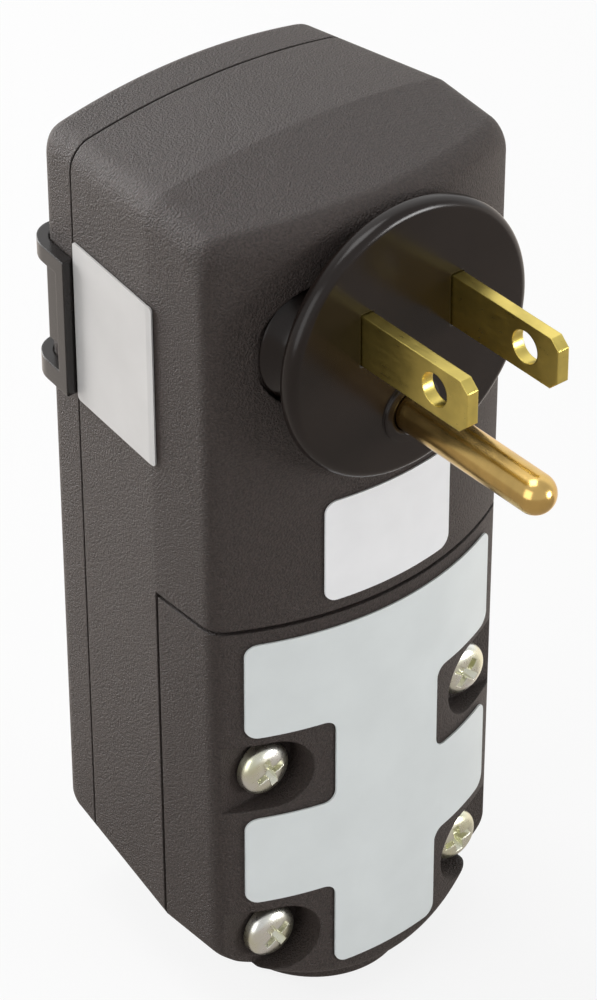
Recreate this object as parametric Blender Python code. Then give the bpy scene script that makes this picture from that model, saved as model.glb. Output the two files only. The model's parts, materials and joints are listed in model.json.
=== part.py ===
"""Right-angle ground-fault plug unit with a field-wired cord entry.

Frame: origin at the centre of the plug face, blades along -Y, cord end down, +Z up.
Sizes below are in millimetres and are scaled to metres when a mesh is made.
"""
import math

import bmesh
import bpy
from mathutils import Vector

MM = 0.001

# Case outline
CASE_HALF_WIDTH = 21.3
REAR_NARROWING = 2.4
REAR_HALF_WIDTH = CASE_HALF_WIDTH - REAR_NARROWING
SIDE_TAPER = 0.0093
CASE_TOP = 18.7
CASE_BOTTOM = -89.0
TOP_RADIUS = 108.0
BOTTOM_RADIUS = 35.0
FRONT_APEX = 2.9
FRONT_RADIUS = 41.1
REAR_RADIUS = 900.0
JOINT_Y = 19.0
PARTING_Y = 34.4
REAR_Y = 41.0
TOP_DRAFT_FRONT = 0.10
TOP_DRAFT_REAR = 0.07
BOTTOM_DRAFT_REAR = 0.15
TOP_CORNER_R = 3.5
BOTTOM_CORNER_R = 2.5
FRONT_CORNER_R = 3.0
REAR_CORNER_R = 2.0
FRONT_EDGE_R = 3.0
LOWER_EDGE_R = 1.6
REAR_EDGE_R = 1.8
WALL = 2.2
WALL_BITE = 1.0
CLEARANCE = 0.3
SEAM_Z = -34.6
SHELF_THICK = 2.0
TRAY_SET_BACK = 4.4
TRAY_Y = PARTING_Y - TRAY_SET_BACK
TRAY_THICK = 2.0
REF_Z = 3.0

# Plug base and pins
FLANGE_R = 16.8
FLANGE_THICK = 2.6
FLANGE_RIM_R = 1.1
NECK_CENTRE_Z = 1.3
NECK_SPAN = 8.45
NECK_R = 7.9
NECK_WAIST_R = 5.4
NECK_SEAT_Y = 6.3
STEM_R = 5.9
STEM_GROOVE_R = 4.6
PAD_Y = 8.5
GROOVE_DEPTH = 1.9
LIP_THICK = 1.2
PIN_BOSS_R = 4.2
COLLAR_R = 3.9
COLLAR_HEIGHT = 0.4
BLADE_X = 6.35
BLADE_Z = 3.0
BLADE_HEIGHT = 6.35
BLADE_THICK = 1.5
BLADE_LENGTH = 17.2
BLADE_TIP = 1.2
BLADE_TIP_DROP = 1.1
BLADE_HOLE_Y = -11.9
BLADE_HOLE_R = 2.0
TAIL_HEIGHT = 4.6
TAIL_Y = 14.4
PIN_Z = -8.9
PIN_R = 2.4
PIN_LENGTH = 22.8
PIN_TAIL_R = 1.5
RETAINER_RIM = 1.4

# Wiring cover, screws and labels
UPPER_SCREW_INSET = 6.6
UPPER_SCREW_DROP = 21.2
UPPER_SCREW_Z = SEAM_Z - UPPER_SCREW_DROP
LOWER_SCREW_INSET = 7.4
LOWER_SCREW_RISE = 8.8
LOWER_SCREW_Z = CASE_BOTTOM + LOWER_SCREW_RISE
COVER_SCREWS = ((CASE_HALF_WIDTH - UPPER_SCREW_INSET, UPPER_SCREW_Z),
                (CASE_HALF_WIDTH - LOWER_SCREW_INSET, LOWER_SCREW_Z))
SCREW_HEAD_R = 3.3
SCREW_HEAD_H = 2.1
SCREW_SHANK_R = 1.5
SCREW_LENGTH = 13.0
SCREW_SLOT_W = 1.0
SCREW_SLOT_D = 0.9
POCKET_FLOOR_Y = 8.7
POCKET_HALF_H = 4.7
POCKET_PLATE = 2.0
POST_R = 2.4
LABEL_GAP = 0.1
LABEL_THICK = 0.2
LABEL_CORNER_R = 1.5
SERIAL_HALF_W = 9.0
SERIAL_TOP = -19.5
SERIAL_BOTTOM = -33.0
WIRING_SIDE_GAP = 3.4
WIRING_HALF_W = CASE_HALF_WIDTH - WIRING_SIDE_GAP
WIRING_WAIST = 7.5
WIRING_TOP_GAP = 2.2
WIRING_LOW_GAP = 3.0
WIRING_ABOVE_UPPER = 5.9
WIRING_BELOW_UPPER = 5.8
WIRING_ABOVE_LOWER = 6.3
RATING_TOP = 4.0
RATING_BOTTOM = -16.9
RATING_LAP = 1.0
RATING_FRONT_Y = JOINT_Y - RATING_LAP

# Neck, grommet and clamp
CORD_Y = 16.4
CORD_NECK_R = 10.7
NECK_LENGTH = 3.0
NECK_BOTTOM = CASE_BOTTOM - NECK_LENGTH
CORD_BORE_R = 8.4
GROMMET_INNER_R = 6.2
GROMMET_FLANGE_R = 9.6
GROMMET_FLANGE_H = 1.6
GROMMET_RISE = 7.6
GROMMET_TOP = NECK_BOTTOM + GROMMET_RISE
CLAMP_RISE = 20.0
CLAMP_Z = CASE_BOTTOM + CLAMP_RISE
CLAMP_HALF_H = 3.6
CLAMP_THICK = 1.6
CLAMP_ARCH_R = 7.4
CLAMP_EAR_Y = 17.0
CLAMP_SCREW_X = 11.4
CLAMP_SCREW_LENGTH = 9.0
CLAMP_POST_R = 2.6

# Buttons, guard and rear screws
GUARD_TOP = 1.4
GUARD_BOTTOM = -16.3
GUARD_THICK = 1.4
GUARD_GAP = 0.15
GUARD_BAR = 1.7
GUARD_STRAP_TOP = 2.1
GUARD_STRAP_BOTTOM = 2.5
GUARD_WEB_DROP = 0.7
GUARD_WEB_BOTTOM = -11.0
BUTTON_INNER_X = 2.8
BUTTON_SIDE_GAP = 5.7
BUTTON_HALF_W = (REAR_HALF_WIDTH - BUTTON_SIDE_GAP - BUTTON_INNER_X) / 2
BUTTON_X = BUTTON_INNER_X + BUTTON_HALF_W
BUTTON_Z = -7.2
BUTTON_HALF_H = 4.0
BUTTON_PROUD = 1.2
BUTTON_FLANGE = 1.0
BUTTON_FLANGE_THICK = 1.2
BUTTON_EDGE = 0.6
STEM_ROD_R = 1.5
TEST_TRAVEL = 1.5
REAR_SCREW_UPPER_INSET = 4.9
REAR_SCREW_UPPER_DROP = 7.1
REAR_SCREW_LOWER_INSET = 5.7
REAR_SCREW_LOWER_RISE = 15.0
CASE_SCREWS = ((REAR_HALF_WIDTH - REAR_SCREW_UPPER_INSET, CASE_TOP - REAR_SCREW_UPPER_DROP),
               (REAR_HALF_WIDTH - REAR_SCREW_LOWER_INSET, CASE_BOTTOM + REAR_SCREW_LOWER_RISE))
CASE_SCREW_HEAD_R = 2.7
CASE_SCREW_HEAD_H = 1.8
CASE_SCREW_SINK = 2.4
CASE_SCREW_SHANK_R = 1.2
CASE_SCREW_LENGTH = 9.0
CASE_BOSS_R = 2.8
CASE_SINK_BOSS_R = 3.6
CASE_BOSS_LENGTH = 9.0

# Electronics and mechanism
BOARD_Y = 15.0
BOARD_THICK = 1.6
BOARD_SIDE_GAP = 5.9
BOARD_HALF_W = CASE_HALF_WIDTH - BOARD_SIDE_GAP
BOARD_TOP_GAP = 6.1
BOARD_TOP = CASE_TOP - BOARD_TOP_GAP
BOARD_SHELF_GAP = 1.6
BOARD_BOTTOM = SEAM_Z + SHELF_THICK + BOARD_SHELF_GAP
BOARD_POST_R = 2.2
BOARD_POST_INSET = 3.0
BOARD_POST_DROP = 2.6
BOARD_POSTS = ((BOARD_HALF_W - BOARD_POST_INSET, BOARD_TOP - BOARD_POST_DROP),
               (BOARD_HALF_W - BOARD_POST_INSET, BOARD_BOTTOM + BOARD_POST_INSET))
STRIP_THICK = 0.8
LINE_SIDE_GAP = 4.7
LINE_STRIP_X = CASE_HALF_WIDTH - LINE_SIDE_GAP
LINE_RUN_GAP = 2.0
LINE_RUN_Y = BOARD_Y - LINE_RUN_GAP
FRAME_SET_BACK = 3.4
FRAME_Y = PARTING_Y - FRAME_SET_BACK
CONTACT_SET_BACK = 3.8
CONTACT_Y = FRAME_Y - CONTACT_SET_BACK
CONTACT_INSET = 3.2
CONTACT_X = LINE_STRIP_X - CONTACT_INSET
CONTACT_HALF_W = 2.0
LOAD_PAD_TOP = -5.4
LOAD_PAD_BOTTOM = -9.6
LOAD_NECK_X = 2.2
LOAD_NECK_HALF_W = 1.1
BRIDGE_THICK = 0.8
CARRIER_DEPTH = 3.6
CARRIER_LAP = 1.8
CARRIER_HALF_W = CONTACT_X + CARRIER_LAP
CARRIER_TOP = 5.0
CARRIER_BOTTOM = -10.6
CARRIER_TRAVEL = 1.5
LATCH_THICK = 0.8
LATCH_HALF_H = 3.2
LATCH_LEFT = 2.0
LATCH_STRIP_GAP = 3.6
LATCH_RIGHT = LINE_STRIP_X - LATCH_STRIP_GAP
LATCH_HOLE_R = 3.2
PLUNGER_TRAVEL = 1.2
FRAME_THICK = 1.4
FRAME_SIDE_GAP = 5.5
FRAME_HALF_W = CASE_HALF_WIDTH - FRAME_SIDE_GAP
FRAME_TOP = 4.6
FRAME_BOTTOM = -12.4
FRAME_POST_R = 2.0
SPRING_R = 2.6
SPRING_WIRE_R = 0.35
SPRING_TURNS = 4
SOLENOID_LIFT = 8.2
SOLENOID_Y = BOARD_Y + SOLENOID_LIFT
SOLENOID_DROP = 1.6
SOLENOID_Z = BOARD_TOP - SOLENOID_DROP
BOBBIN_HALF_L = 8.0
BOBBIN_R = 4.3
BOBBIN_TUBE_R = 2.3
BOBBIN_FLANGE = 1.0
COIL_R = 4.0
PLUNGER_R = 1.7
PLUNGER_LEFT = -6.0
PLUNGER_RIGHT = 11.0
HOOK_THICK = 1.0
HOOK_HALF_W = 1.6
TOROID_R = 8.0
TOROID_HOLE_R = 5.0
TOROID_H = 5.0
TOROID_TOP = -15.0
TOROID_PITCH = 5.6
TERMINAL_HALF = 4.0
TERMINAL_SIDE_GAP = 9.7
TERMINAL_X = CASE_HALF_WIDTH - TERMINAL_SIDE_GAP
TERMINAL_SEAM_GAP = 3.4
TERMINAL_Z = SEAM_Z - TERMINAL_HALF - TERMINAL_SEAM_GAP
TERMINAL_THICK = 1.0
TERMINAL_HEAD_R = 3.0
TERMINAL_HEAD_H = 2.0
TERMINAL_SCREW_LENGTH = 4.0
GROUND_HALF_W = 2.5
GROUND_RUN_DROP = 3.8
GROUND_RUN_Z = SEAM_Z - GROUND_RUN_DROP
GROUND_FACE_GAP = 5.1
GROUND_FACE_Y = TRAY_Y - GROUND_FACE_GAP
GROUND_TERMINAL_DROP = 8.6
GROUND_TERMINAL_Z = GROUND_RUN_Z - GROUND_TERMINAL_DROP
TEST_LEAF_SET_BACK = 2.0
TEST_LEAF_Y = FRAME_Y - TEST_LEAF_SET_BACK
TEST_LEAF_THICK = 0.4
TEST_LEAF_HALF_W = 2.0
CLAMP_HEAD_R = 2.6
CLAMP_HEAD_H = 1.8
CLAMP_EAR = 2.8
PART_MARGIN = 1.8
CHIP_INSET = 2.4
CHIP_WIDTH = 3.6
CHIP_LENGTH = 8.2
CHIP_RISE = 9.4
CHIP_H = 1.8
CAPACITOR_WIDTH = 5.0
CAPACITOR_RISE = 1.4
CAPACITOR_H = 7.0
VARISTOR_R = 5.0
VARISTOR_THICK = 3.0
VARISTOR_RISE = 10.0
RESISTOR_R = 1.2
RESISTOR_LENGTH = 5.4
RESISTOR_RISE = 1.6

COLOURS = {
    "case_black": ((0.030, 0.027, 0.026), 0.62, 0.0),
    "smooth_black": ((0.020, 0.018, 0.018), 0.28, 0.0),
    "brass": ((0.72, 0.55, 0.22), 0.30, 1.0),
    "zinc": ((0.72, 0.72, 0.70), 0.32, 1.0),
    "label_silver": ((0.60, 0.63, 0.63), 0.45, 0.0),
    "label_white": ((0.80, 0.80, 0.81), 0.50, 0.0),
    "rubber": ((0.022, 0.022, 0.022), 0.85, 0.0),
    "button_red": ((0.45, 0.04, 0.03), 0.40, 0.0),
    "button_black": ((0.03, 0.03, 0.03), 0.40, 0.0),
    "board_green": ((0.05, 0.20, 0.09), 0.50, 0.0),
    "ferrite": ((0.10, 0.10, 0.11), 0.60, 0.0),
    "copper": ((0.70, 0.30, 0.16), 0.35, 1.0),
    "nylon": ((0.62, 0.60, 0.54), 0.55, 0.0),
    "steel": ((0.55, 0.56, 0.58), 0.35, 1.0),
    "part_blue": ((0.06, 0.16, 0.45), 0.45, 0.0),
    "part_black": ((0.02, 0.02, 0.02), 0.50, 0.0),
}


def clear_scene():
    """Remove every object that the scene starts with."""
    for obj in list(bpy.data.objects):
        bpy.data.objects.remove(obj, do_unlink=True)


def material(slot):
    """Principled material for a slot, made once."""
    mat = bpy.data.materials.get(slot)
    if mat is None:
        mat = bpy.data.materials.new(slot)
        mat.use_nodes = True
        colour, rough, metal = COLOURS[slot]
        shader = mat.node_tree.nodes["Principled BSDF"]
        shader.inputs["Base Color"].default_value = (*colour, 1.0)
        shader.inputs["Roughness"].default_value = rough
        shader.inputs["Metallic"].default_value = metal
    return mat


def solid(name, verts, faces, slot="case_black"):
    """Closed mesh object from millimetre points, faces turned out."""
    mesh = bpy.data.meshes.new(name)
    mesh.from_pydata([Vector(v) * MM for v in verts], [], faces)
    tidy = bmesh.new()
    tidy.from_mesh(mesh)
    bmesh.ops.remove_doubles(tidy, verts=tidy.verts, dist=1e-7)
    bmesh.ops.recalc_face_normals(tidy, faces=tidy.faces)
    tidy.to_mesh(mesh)
    tidy.free()
    obj = bpy.data.objects.new(name, mesh)
    bpy.context.scene.collection.objects.link(obj)
    mesh.materials.append(material(slot))
    return obj


def loft(name, rings, slot="case_black"):
    """Solid through rings of equal point count, capped at both ends."""
    count = len(rings[0])
    verts = [v for ring in rings for v in ring]
    faces = []
    for i in range(len(rings) - 1):
        for j in range(count):
            k = (j + 1) % count
            a = i * count
            b = a + count
            faces.append((a + j, a + k, b + k, b + j))
    faces.append(tuple(range(count)))
    faces.append(tuple(range(len(verts) - count, len(verts))))
    return solid(name, verts, faces, slot)


def place(axis, a, b, t):
    """Point with in-plane values a, b and value t along the axis."""
    if axis == "Y":
        return (a, t, b)
    if axis == "Z":
        return (a, b, t)
    return (t, a, b)


def prism(name, outline, axis, lo, hi, slot="case_black"):
    """Outline drawn square to an axis and carried from lo to hi."""
    rings = [[place(axis, a, b, t) for a, b in outline] for t in (lo, hi)]
    return loft(name, rings, slot)


def box(name, lo, hi, slot="case_black"):
    """Block between two corners."""
    outline = [(lo[0], lo[2]), (hi[0], lo[2]), (hi[0], hi[2]), (lo[0], hi[2])]
    return prism(name, outline, "Y", lo[1], hi[1], slot)


def circle(a, b, radius, count=24):
    """Points round a centre."""
    turn = 2.0 * math.pi / count
    return [(a + radius * math.cos(i * turn), b + radius * math.sin(i * turn)) for i in range(count)]


def rod(name, axis, centre, radius, lo, hi, slot="case_black", count=24):
    """Round bar along an axis."""
    return prism(name, circle(centre[0], centre[1], radius, count), axis, lo, hi, slot)


def turned(name, axis, centre, profile, slot="case_black", count=32):
    """Solid of revolution: profile holds (radius, value along the axis)."""
    rings = [[place(axis, a, b, t) for a, b in circle(centre[0], centre[1], r, count)] for r, t in profile]
    return loft(name, rings, slot)


def ring_solid(name, axis, centre, profile, slot="case_black", count=32):
    """Ring of revolution: profile is a closed loop of (radius, value along the axis)."""
    loops = []
    turn = 2.0 * math.pi / count
    for i in range(count):
        c = math.cos(i * turn)
        s = math.sin(i * turn)
        loops.append([place(axis, centre[0] + r * c, centre[1] + r * s, t) for r, t in profile])
    size = len(profile)
    verts = [v for loop in loops for v in loop]
    faces = []
    for i in range(count):
        for j in range(size):
            k = (j + 1) % size
            a = i * size
            b = ((i + 1) % count) * size
            faces.append((a + j, a + k, b + k, b + j))
    return solid(name, verts, faces, slot)


def stadium(span, radius, z, count=12):
    """Outline with round ends: span is the half distance of the end centres."""
    right = [-math.pi / 2 + math.pi * i / count for i in range(count + 1)]
    left = [math.pi / 2 + math.pi * i / count for i in range(count + 1)]
    points = [(span + radius * math.cos(a), z + radius * math.sin(a)) for a in right]
    points += [(-span + radius * math.cos(a), z + radius * math.sin(a)) for a in left]
    return points


def rounded(corners, radius, count=4):
    """Polygon whose corners, convex or not, are rounded with one radius."""
    points = []
    size = len(corners)
    for i in range(size):
        here = Vector(corners[i])
        back = Vector(corners[i - 1]) - here
        ahead = Vector(corners[(i + 1) % size]) - here
        a = here + back.normalized() * radius
        b = here + ahead.normalized() * radius
        centre = a + b - here
        start = (a - centre).angle_signed(b - centre)
        for j in range(count + 1):
            arm = (a - centre).copy()
            turn = -start * j / count
            c = math.cos(turn)
            s = math.sin(turn)
            points.append((centre.x + arm.x * c - arm.y * s, centre.y + arm.x * s + arm.y * c))
    return points


def strip_outline(path, thick):
    """Outline of a bent strip of one thickness about a path."""
    half = thick / 2.0
    left = []
    right = []
    last = len(path) - 1
    for i, point in enumerate(path):
        here = Vector(point)
        into = (here - Vector(path[max(i - 1, 0)])).normalized()
        out = (Vector(path[min(i + 1, last)]) - here).normalized()
        if i == 0:
            into = out
        if i == last:
            out = into
        normal_in = Vector((-into.y, into.x))
        normal_out = Vector((-out.y, out.x))
        mitre = (normal_in + normal_out).normalized()
        reach = half / max(mitre.dot(normal_in), 0.3)
        left.append(tuple(here + mitre * reach))
        right.append(tuple(here - mitre * reach))
    return left + right[::-1]


def boolean(obj, other, operation):
    """Apply an exact Boolean to obj and remove the tool."""
    mod = obj.modifiers.new("shape", "BOOLEAN")
    mod.solver = "EXACT"
    mod.operation = operation
    mod.object = other
    other.hide_render = True
    other.display_type = "WIRE"
    graph = bpy.context.evaluated_depsgraph_get()
    mesh = bpy.data.meshes.new_from_object(obj.evaluated_get(graph))
    obj.modifiers.clear()
    obj.data = mesh
    bpy.data.objects.remove(other, do_unlink=True)
    return obj


def cut(obj, *others):
    """Take each tool away from obj."""
    for other in others:
        boolean(obj, other, "DIFFERENCE")
    return obj


def join(obj, *others):
    """Fuse each piece into obj."""
    for other in others:
        boolean(obj, other, "UNION")
    return obj


def keep(obj, other):
    """Keep only what lies inside the tool."""
    return boolean(obj, other, "INTERSECT")


def finish(obj, slot, smooth_deg=0.0):
    """Give a finished piece its one material and its shading."""
    obj.data.materials.clear()
    obj.data.materials.append(material(slot))
    for poly in obj.data.polygons:
        poly.material_index = 0
    if smooth_deg:
        obj.data.shade_smooth()
        obj.data.set_sharp_from_angle(angle=math.radians(smooth_deg))
    return obj


def drop(x, radius, half, corner):
    """Fall of a wide arc at x, with a corner arc that runs into the line at half."""
    corner_x = half - corner
    corner_z = math.sqrt((radius - corner) ** 2 - corner_x ** 2) - radius
    lean = corner_x / (radius - corner)
    if x <= radius * lean:
        return radius - math.sqrt(radius ** 2 - x ** 2)
    rise = math.sqrt(max(corner ** 2 - (x - corner_x) ** 2, 0.0))
    return -(corner_z + rise)


def side_shares():
    """Shares of the half width at which the case outline is drawn."""
    flat = 0.80
    inner = [flat * i / 7 for i in range(8)]
    outer = [flat + (1.0 - flat) * math.sin(math.radians(a)) for a in (14, 28, 42, 56, 72, 90)]
    half = inner + outer
    return [-s for s in half[:0:-1]] + half


def half_width(y, z, inset):
    """Half width of the case at a depth and height."""
    width = CASE_HALF_WIDTH
    if y > JOINT_Y:
        width -= (CASE_HALF_WIDTH - REAR_HALF_WIDTH) * (y - JOINT_Y) / (REAR_Y - JOINT_Y)
    return width - inset + SIDE_TAPER * (z - REF_Z)


def top_z(y):
    """Crest height of the case at a depth."""
    if y < JOINT_Y:
        return CASE_TOP - TOP_DRAFT_FRONT * (JOINT_Y - y)
    return CASE_TOP - TOP_DRAFT_REAR * (y - JOINT_Y)


def bottom_z(y):
    """Lowest height of the case at a depth."""
    return CASE_BOTTOM + BOTTOM_DRAFT_REAR * max(y - JOINT_Y, 0.0)


def edge_arc(y, z, radius, start, count=3):
    """Quarter turn of an edge from an angle, clockwise seen from the left."""
    step = math.pi / 2 / count
    return [(y - radius * math.cos(start + step * i), z + radius * math.sin(start + step * i))
            for i in range(count + 1)]


def case_form(name, inset):
    """The whole case outline, drawn in by an inset: rings across X, each a side view."""
    half = CASE_HALF_WIDTH - inset
    least = 0.4
    rings = []
    crest = 0
    for share in side_shares():
        x = abs(share) * half
        front = FRONT_APEX + inset + drop(x, FRONT_RADIUS - inset, half, max(FRONT_CORNER_R - inset, least))
        rear = REAR_Y - inset - drop(x, REAR_RADIUS - inset, half, max(REAR_CORNER_R - inset, least))
        fall = inset + drop(x, TOP_RADIUS - inset, half, max(TOP_CORNER_R - inset, least))
        rise = inset + drop(x, BOTTOM_RADIUS - inset, half, max(BOTTOM_CORNER_R - inset, least))
        r_front = max(FRONT_EDGE_R - inset, least)
        r_low = max(LOWER_EDGE_R - inset, least)
        r_rear = max(REAR_EDGE_R - inset, least)
        quarter = math.pi / 2
        side = edge_arc(front + r_low, bottom_z(front) + rise + r_low, r_low, -quarter)
        side += edge_arc(front + r_front, top_z(front + r_front) - fall - r_front, r_front, 0.0)
        crest = len(side)
        side.append((JOINT_Y, top_z(JOINT_Y) - fall))
        side += edge_arc(rear - r_rear, top_z(rear) - fall - r_rear, r_rear, quarter)
        side += edge_arc(rear - r_rear, bottom_z(rear) + rise + r_rear, r_rear, 2 * quarter)
        side.append((JOINT_Y, bottom_z(JOINT_Y) + rise))
        rings.append([(share * half_width(y, z, inset), y, z) for y, z in side])
    count = len(rings[0])
    verts = [v for ring in rings for v in ring]
    faces = []
    for i in range(len(rings) - 1):
        for j in range(count):
            k = (j + 1) % count
            a = i * count
            faces.append((a + j, a + k, a + count + k, a + count + j))
    low = count - 1
    for a in (0, len(verts) - count):
        faces.append(tuple(a + i for i in [low] + list(range(crest + 1))))
        faces.append(tuple(a + i for i in range(crest, low + 1)))
    return solid(name, verts, faces)


FAR = 200.0


def slab(y0, y1, z0=-FAR, z1=FAR):
    """Block as wide as needed between two depths and two heights."""
    return box("slab", (-FAR, y0, z0), (FAR, y1, z1))


def mirrored(points):
    """Each (x, z) on both sides."""
    return [(sign * x, z) for x, z in points for sign in (-1, 1)]


def side_name(x):
    """Left or right as a word for node names."""
    return "left" if x < 0 else "right"


def pocket_tool(x, z, lo, hi, grow):
    """Round pocket that opens to the near side of the case."""
    radius = POCKET_HALF_H + grow
    turns = [math.pi / 2 + math.pi * i / 12 for i in range(13)]
    out = math.copysign(1.0, x)
    outline = [(x + out * radius * math.cos(a), z + radius * math.sin(a)) for a in turns]
    outline += [(x + out * FAR, z - radius), (x + out * FAR, z + radius)]
    return prism("pocket", outline, "Y", lo, hi)


def neck_form(lo_y, hi_y):
    """Part of the round cord neck between two depths, not yet bored."""
    neck = rod("neck", "Z", (0.0, CORD_Y), CORD_NECK_R, NECK_BOTTOM, CASE_BOTTOM + WALL + 3.0, count=40)
    return keep(neck, slab(lo_y, hi_y))


def cord_bore():
    """Way in for the cord, with the groove that holds the grommet flange."""
    bore = rod("bore", "Z", (0.0, CORD_Y), CORD_BORE_R, NECK_BOTTOM - 5.0, GROMMET_TOP + 12.0, count=40)
    flange = rod("flange", "Z", (0.0, CORD_Y), GROMMET_FLANGE_R + CLEARANCE,
                 GROMMET_TOP - GROMMET_FLANGE_H - CLEARANCE, GROMMET_TOP + 12.0, count=40)
    return join(bore, flange)


def plug_hole(grow):
    """Outline tools of the plug base where it goes through the case."""
    stem = prism("stem", stadium(NECK_SPAN, STEM_R + grow, NECK_CENTRE_Z), "Y", -FAR, PAD_Y + 3.0)
    pin = rod("pin", "Y", (0.0, PIN_Z), PIN_BOSS_R + grow, -FAR, PAD_Y + 3.0)
    return join(stem, pin)


def make_front_case():
    """Front shell: plug end, sides of the wiring tray, shelf, tray floor and posts."""
    case = keep(case_form("front_case", 0.0), slab(-FAR, PARTING_Y - CLEARANCE / 2))
    cut(case, slab(-FAR, JOINT_Y, -FAR, SEAM_Z))
    cut(case, case_form("inside", WALL))
    join(case, keep(case_form("shelf", WALL_BITE),
                    slab(-FAR, TRAY_Y + TRAY_THICK, SEAM_Z, SEAM_Z + SHELF_THICK)))
    join(case, keep(case_form("tray", WALL_BITE),
                    slab(TRAY_Y, TRAY_Y + TRAY_THICK, -FAR, SEAM_Z + SHELF_THICK)))
    pad_half = NECK_SPAN + NECK_R + 1.2
    pad = keep(case_form("pad", WALL_BITE), box("pad", (-pad_half, -FAR, PIN_Z - PIN_BOSS_R - 2.0),
                                                (pad_half, PAD_Y, NECK_CENTRE_Z + NECK_R + 2.0)))
    join(case, pad)
    for x, z in mirrored(COVER_SCREWS):
        post_top = POCKET_FLOOR_Y + POCKET_PLATE + CLEARANCE
        join(case, rod("post", "Y", (x, z), POST_R, post_top, TRAY_Y + WALL_BITE))
    for x, z in mirrored(((CLAMP_SCREW_X, CLAMP_Z),)):
        join(case, rod("post", "Y", (x, z), CLAMP_POST_R, CLAMP_EAR_Y + CLEARANCE, TRAY_Y + WALL_BITE))
    for x, z in mirrored(((TERMINAL_X, TERMINAL_Z),)):
        join(case, rod("post", "Y", (x, z), CLAMP_POST_R,
                       CONTACT_Y + STRIP_THICK + CLEARANCE, TRAY_Y + WALL_BITE))
    join(case, rod("post", "Y", (0.0, GROUND_TERMINAL_Z), CLAMP_POST_R,
                   GROUND_FACE_Y + STRIP_THICK + CLEARANCE, TRAY_Y + WALL_BITE))
    for x, z in mirrored(BOARD_POSTS):
        front = FRONT_APEX + drop(abs(x), FRONT_RADIUS, CASE_HALF_WIDTH, FRONT_CORNER_R) + WALL_BITE
        join(case, rod("post", "Y", (x, z), BOARD_POST_R, front, BOARD_Y - CLEARANCE))
    bosses = case_form("bosses", WALL_BITE)
    boss_tools = None
    for x, z in mirrored(CASE_SCREWS):
        outer = math.copysign(half_width(PARTING_Y, z, 0.0), x)
        lo_y = PARTING_Y - CASE_BOSS_LENGTH
        hi_y = PARTING_Y - CLEARANCE
        boss = rod("boss", "Y", (x, z), CASE_BOSS_R, lo_y, hi_y)
        join(boss, box("web", (min(x, outer), lo_y, z - CASE_BOSS_R / 2),
                       (max(x, outer), hi_y, z + CASE_BOSS_R / 2)))
        boss_tools = boss if boss_tools is None else join(boss_tools, boss)
    join(case, keep(bosses, boss_tools))
    join(case, neck_form(JOINT_Y, FAR))
    cut(case, cord_bore())
    seat = stadium(NECK_SPAN, NECK_R + CLEARANCE, NECK_CENTRE_Z)
    cut(case, prism("seat", seat, "Y", -FAR, NECK_SEAT_Y), plug_hole(CLEARANCE))
    hole_lo = POCKET_FLOOR_Y
    for x, z in mirrored(COVER_SCREWS):
        cut(case, rod("hole", "Y", (x, z), SCREW_SHANK_R + CLEARANCE, hole_lo,
                      POCKET_FLOOR_Y + SCREW_LENGTH + 1.0, count=16))
    for x, z in mirrored(((CLAMP_SCREW_X, CLAMP_Z),)):
        cut(case, rod("hole", "Y", (x, z), SCREW_SHANK_R + CLEARANCE, CLAMP_EAR_Y,
                      CLAMP_EAR_Y + CLAMP_SCREW_LENGTH, count=16))
    for x, z in mirrored(((TERMINAL_X, TERMINAL_Z),)):
        cut(case, rod("hole", "Y", (x, z), SCREW_SHANK_R + CLEARANCE, CONTACT_Y, TRAY_Y + 0.6, count=16))
    cut(case, rod("hole", "Y", (0.0, GROUND_TERMINAL_Z), SCREW_SHANK_R + CLEARANCE,
                  GROUND_FACE_Y, GROUND_FACE_Y + TERMINAL_SCREW_LENGTH, count=16))
    for x, z in mirrored(CASE_SCREWS):
        cut(case, rod("hole", "Y", (x, z), CASE_SCREW_SHANK_R + CLEARANCE,
                      PARTING_Y - CASE_BOSS_LENGTH + 1.2, PARTING_Y + 1.0, count=16))
    for x in (-LOAD_NECK_X, LOAD_NECK_X):
        half = LOAD_NECK_HALF_W + CLEARANCE
        cut(case, box("slot", (x - half, CONTACT_Y - CLEARANCE, SEAM_Z - 1.0),
                      (x + half, CONTACT_Y + STRIP_THICK + CLEARANCE, SEAM_Z + SHELF_THICK + 1.0)))
    half = GROUND_HALF_W + CLEARANCE
    cut(case, box("slot", (-half, LINE_RUN_Y - CLEARANCE, SEAM_Z - 1.0),
                  (half, LINE_RUN_Y + STRIP_THICK + CLEARANCE, SEAM_Z + SHELF_THICK + 1.0)))
    return finish(case, "case_black", 30.0)


def make_wiring_cover():
    """Lower front cover with side-opening screw pockets and the front of the neck."""
    joint = JOINT_Y - CLEARANCE
    seam = SEAM_Z - CLEARANCE
    cover = keep(case_form("wiring_cover", 0.0), slab(-FAR, joint, -FAR, seam))
    cut(cover, case_form("inside", WALL))
    for x, z in mirrored(COVER_SCREWS):
        join(cover, keep(case_form("seat", WALL_BITE),
                         pocket_tool(x, z, -FAR, POCKET_FLOOR_Y + POCKET_PLATE, POCKET_PLATE)))
    join(cover, neck_form(-FAR, joint))
    for x, z in mirrored(COVER_SCREWS):
        cut(cover, pocket_tool(x, z, -FAR, POCKET_FLOOR_Y, 0.0))
        cut(cover, rod("hole", "Y", (x, z), SCREW_SHANK_R + CLEARANCE, 0.0, JOINT_Y, count=16))
    cut(cover, cord_bore())
    return finish(cover, "case_black", 30.0)


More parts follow.
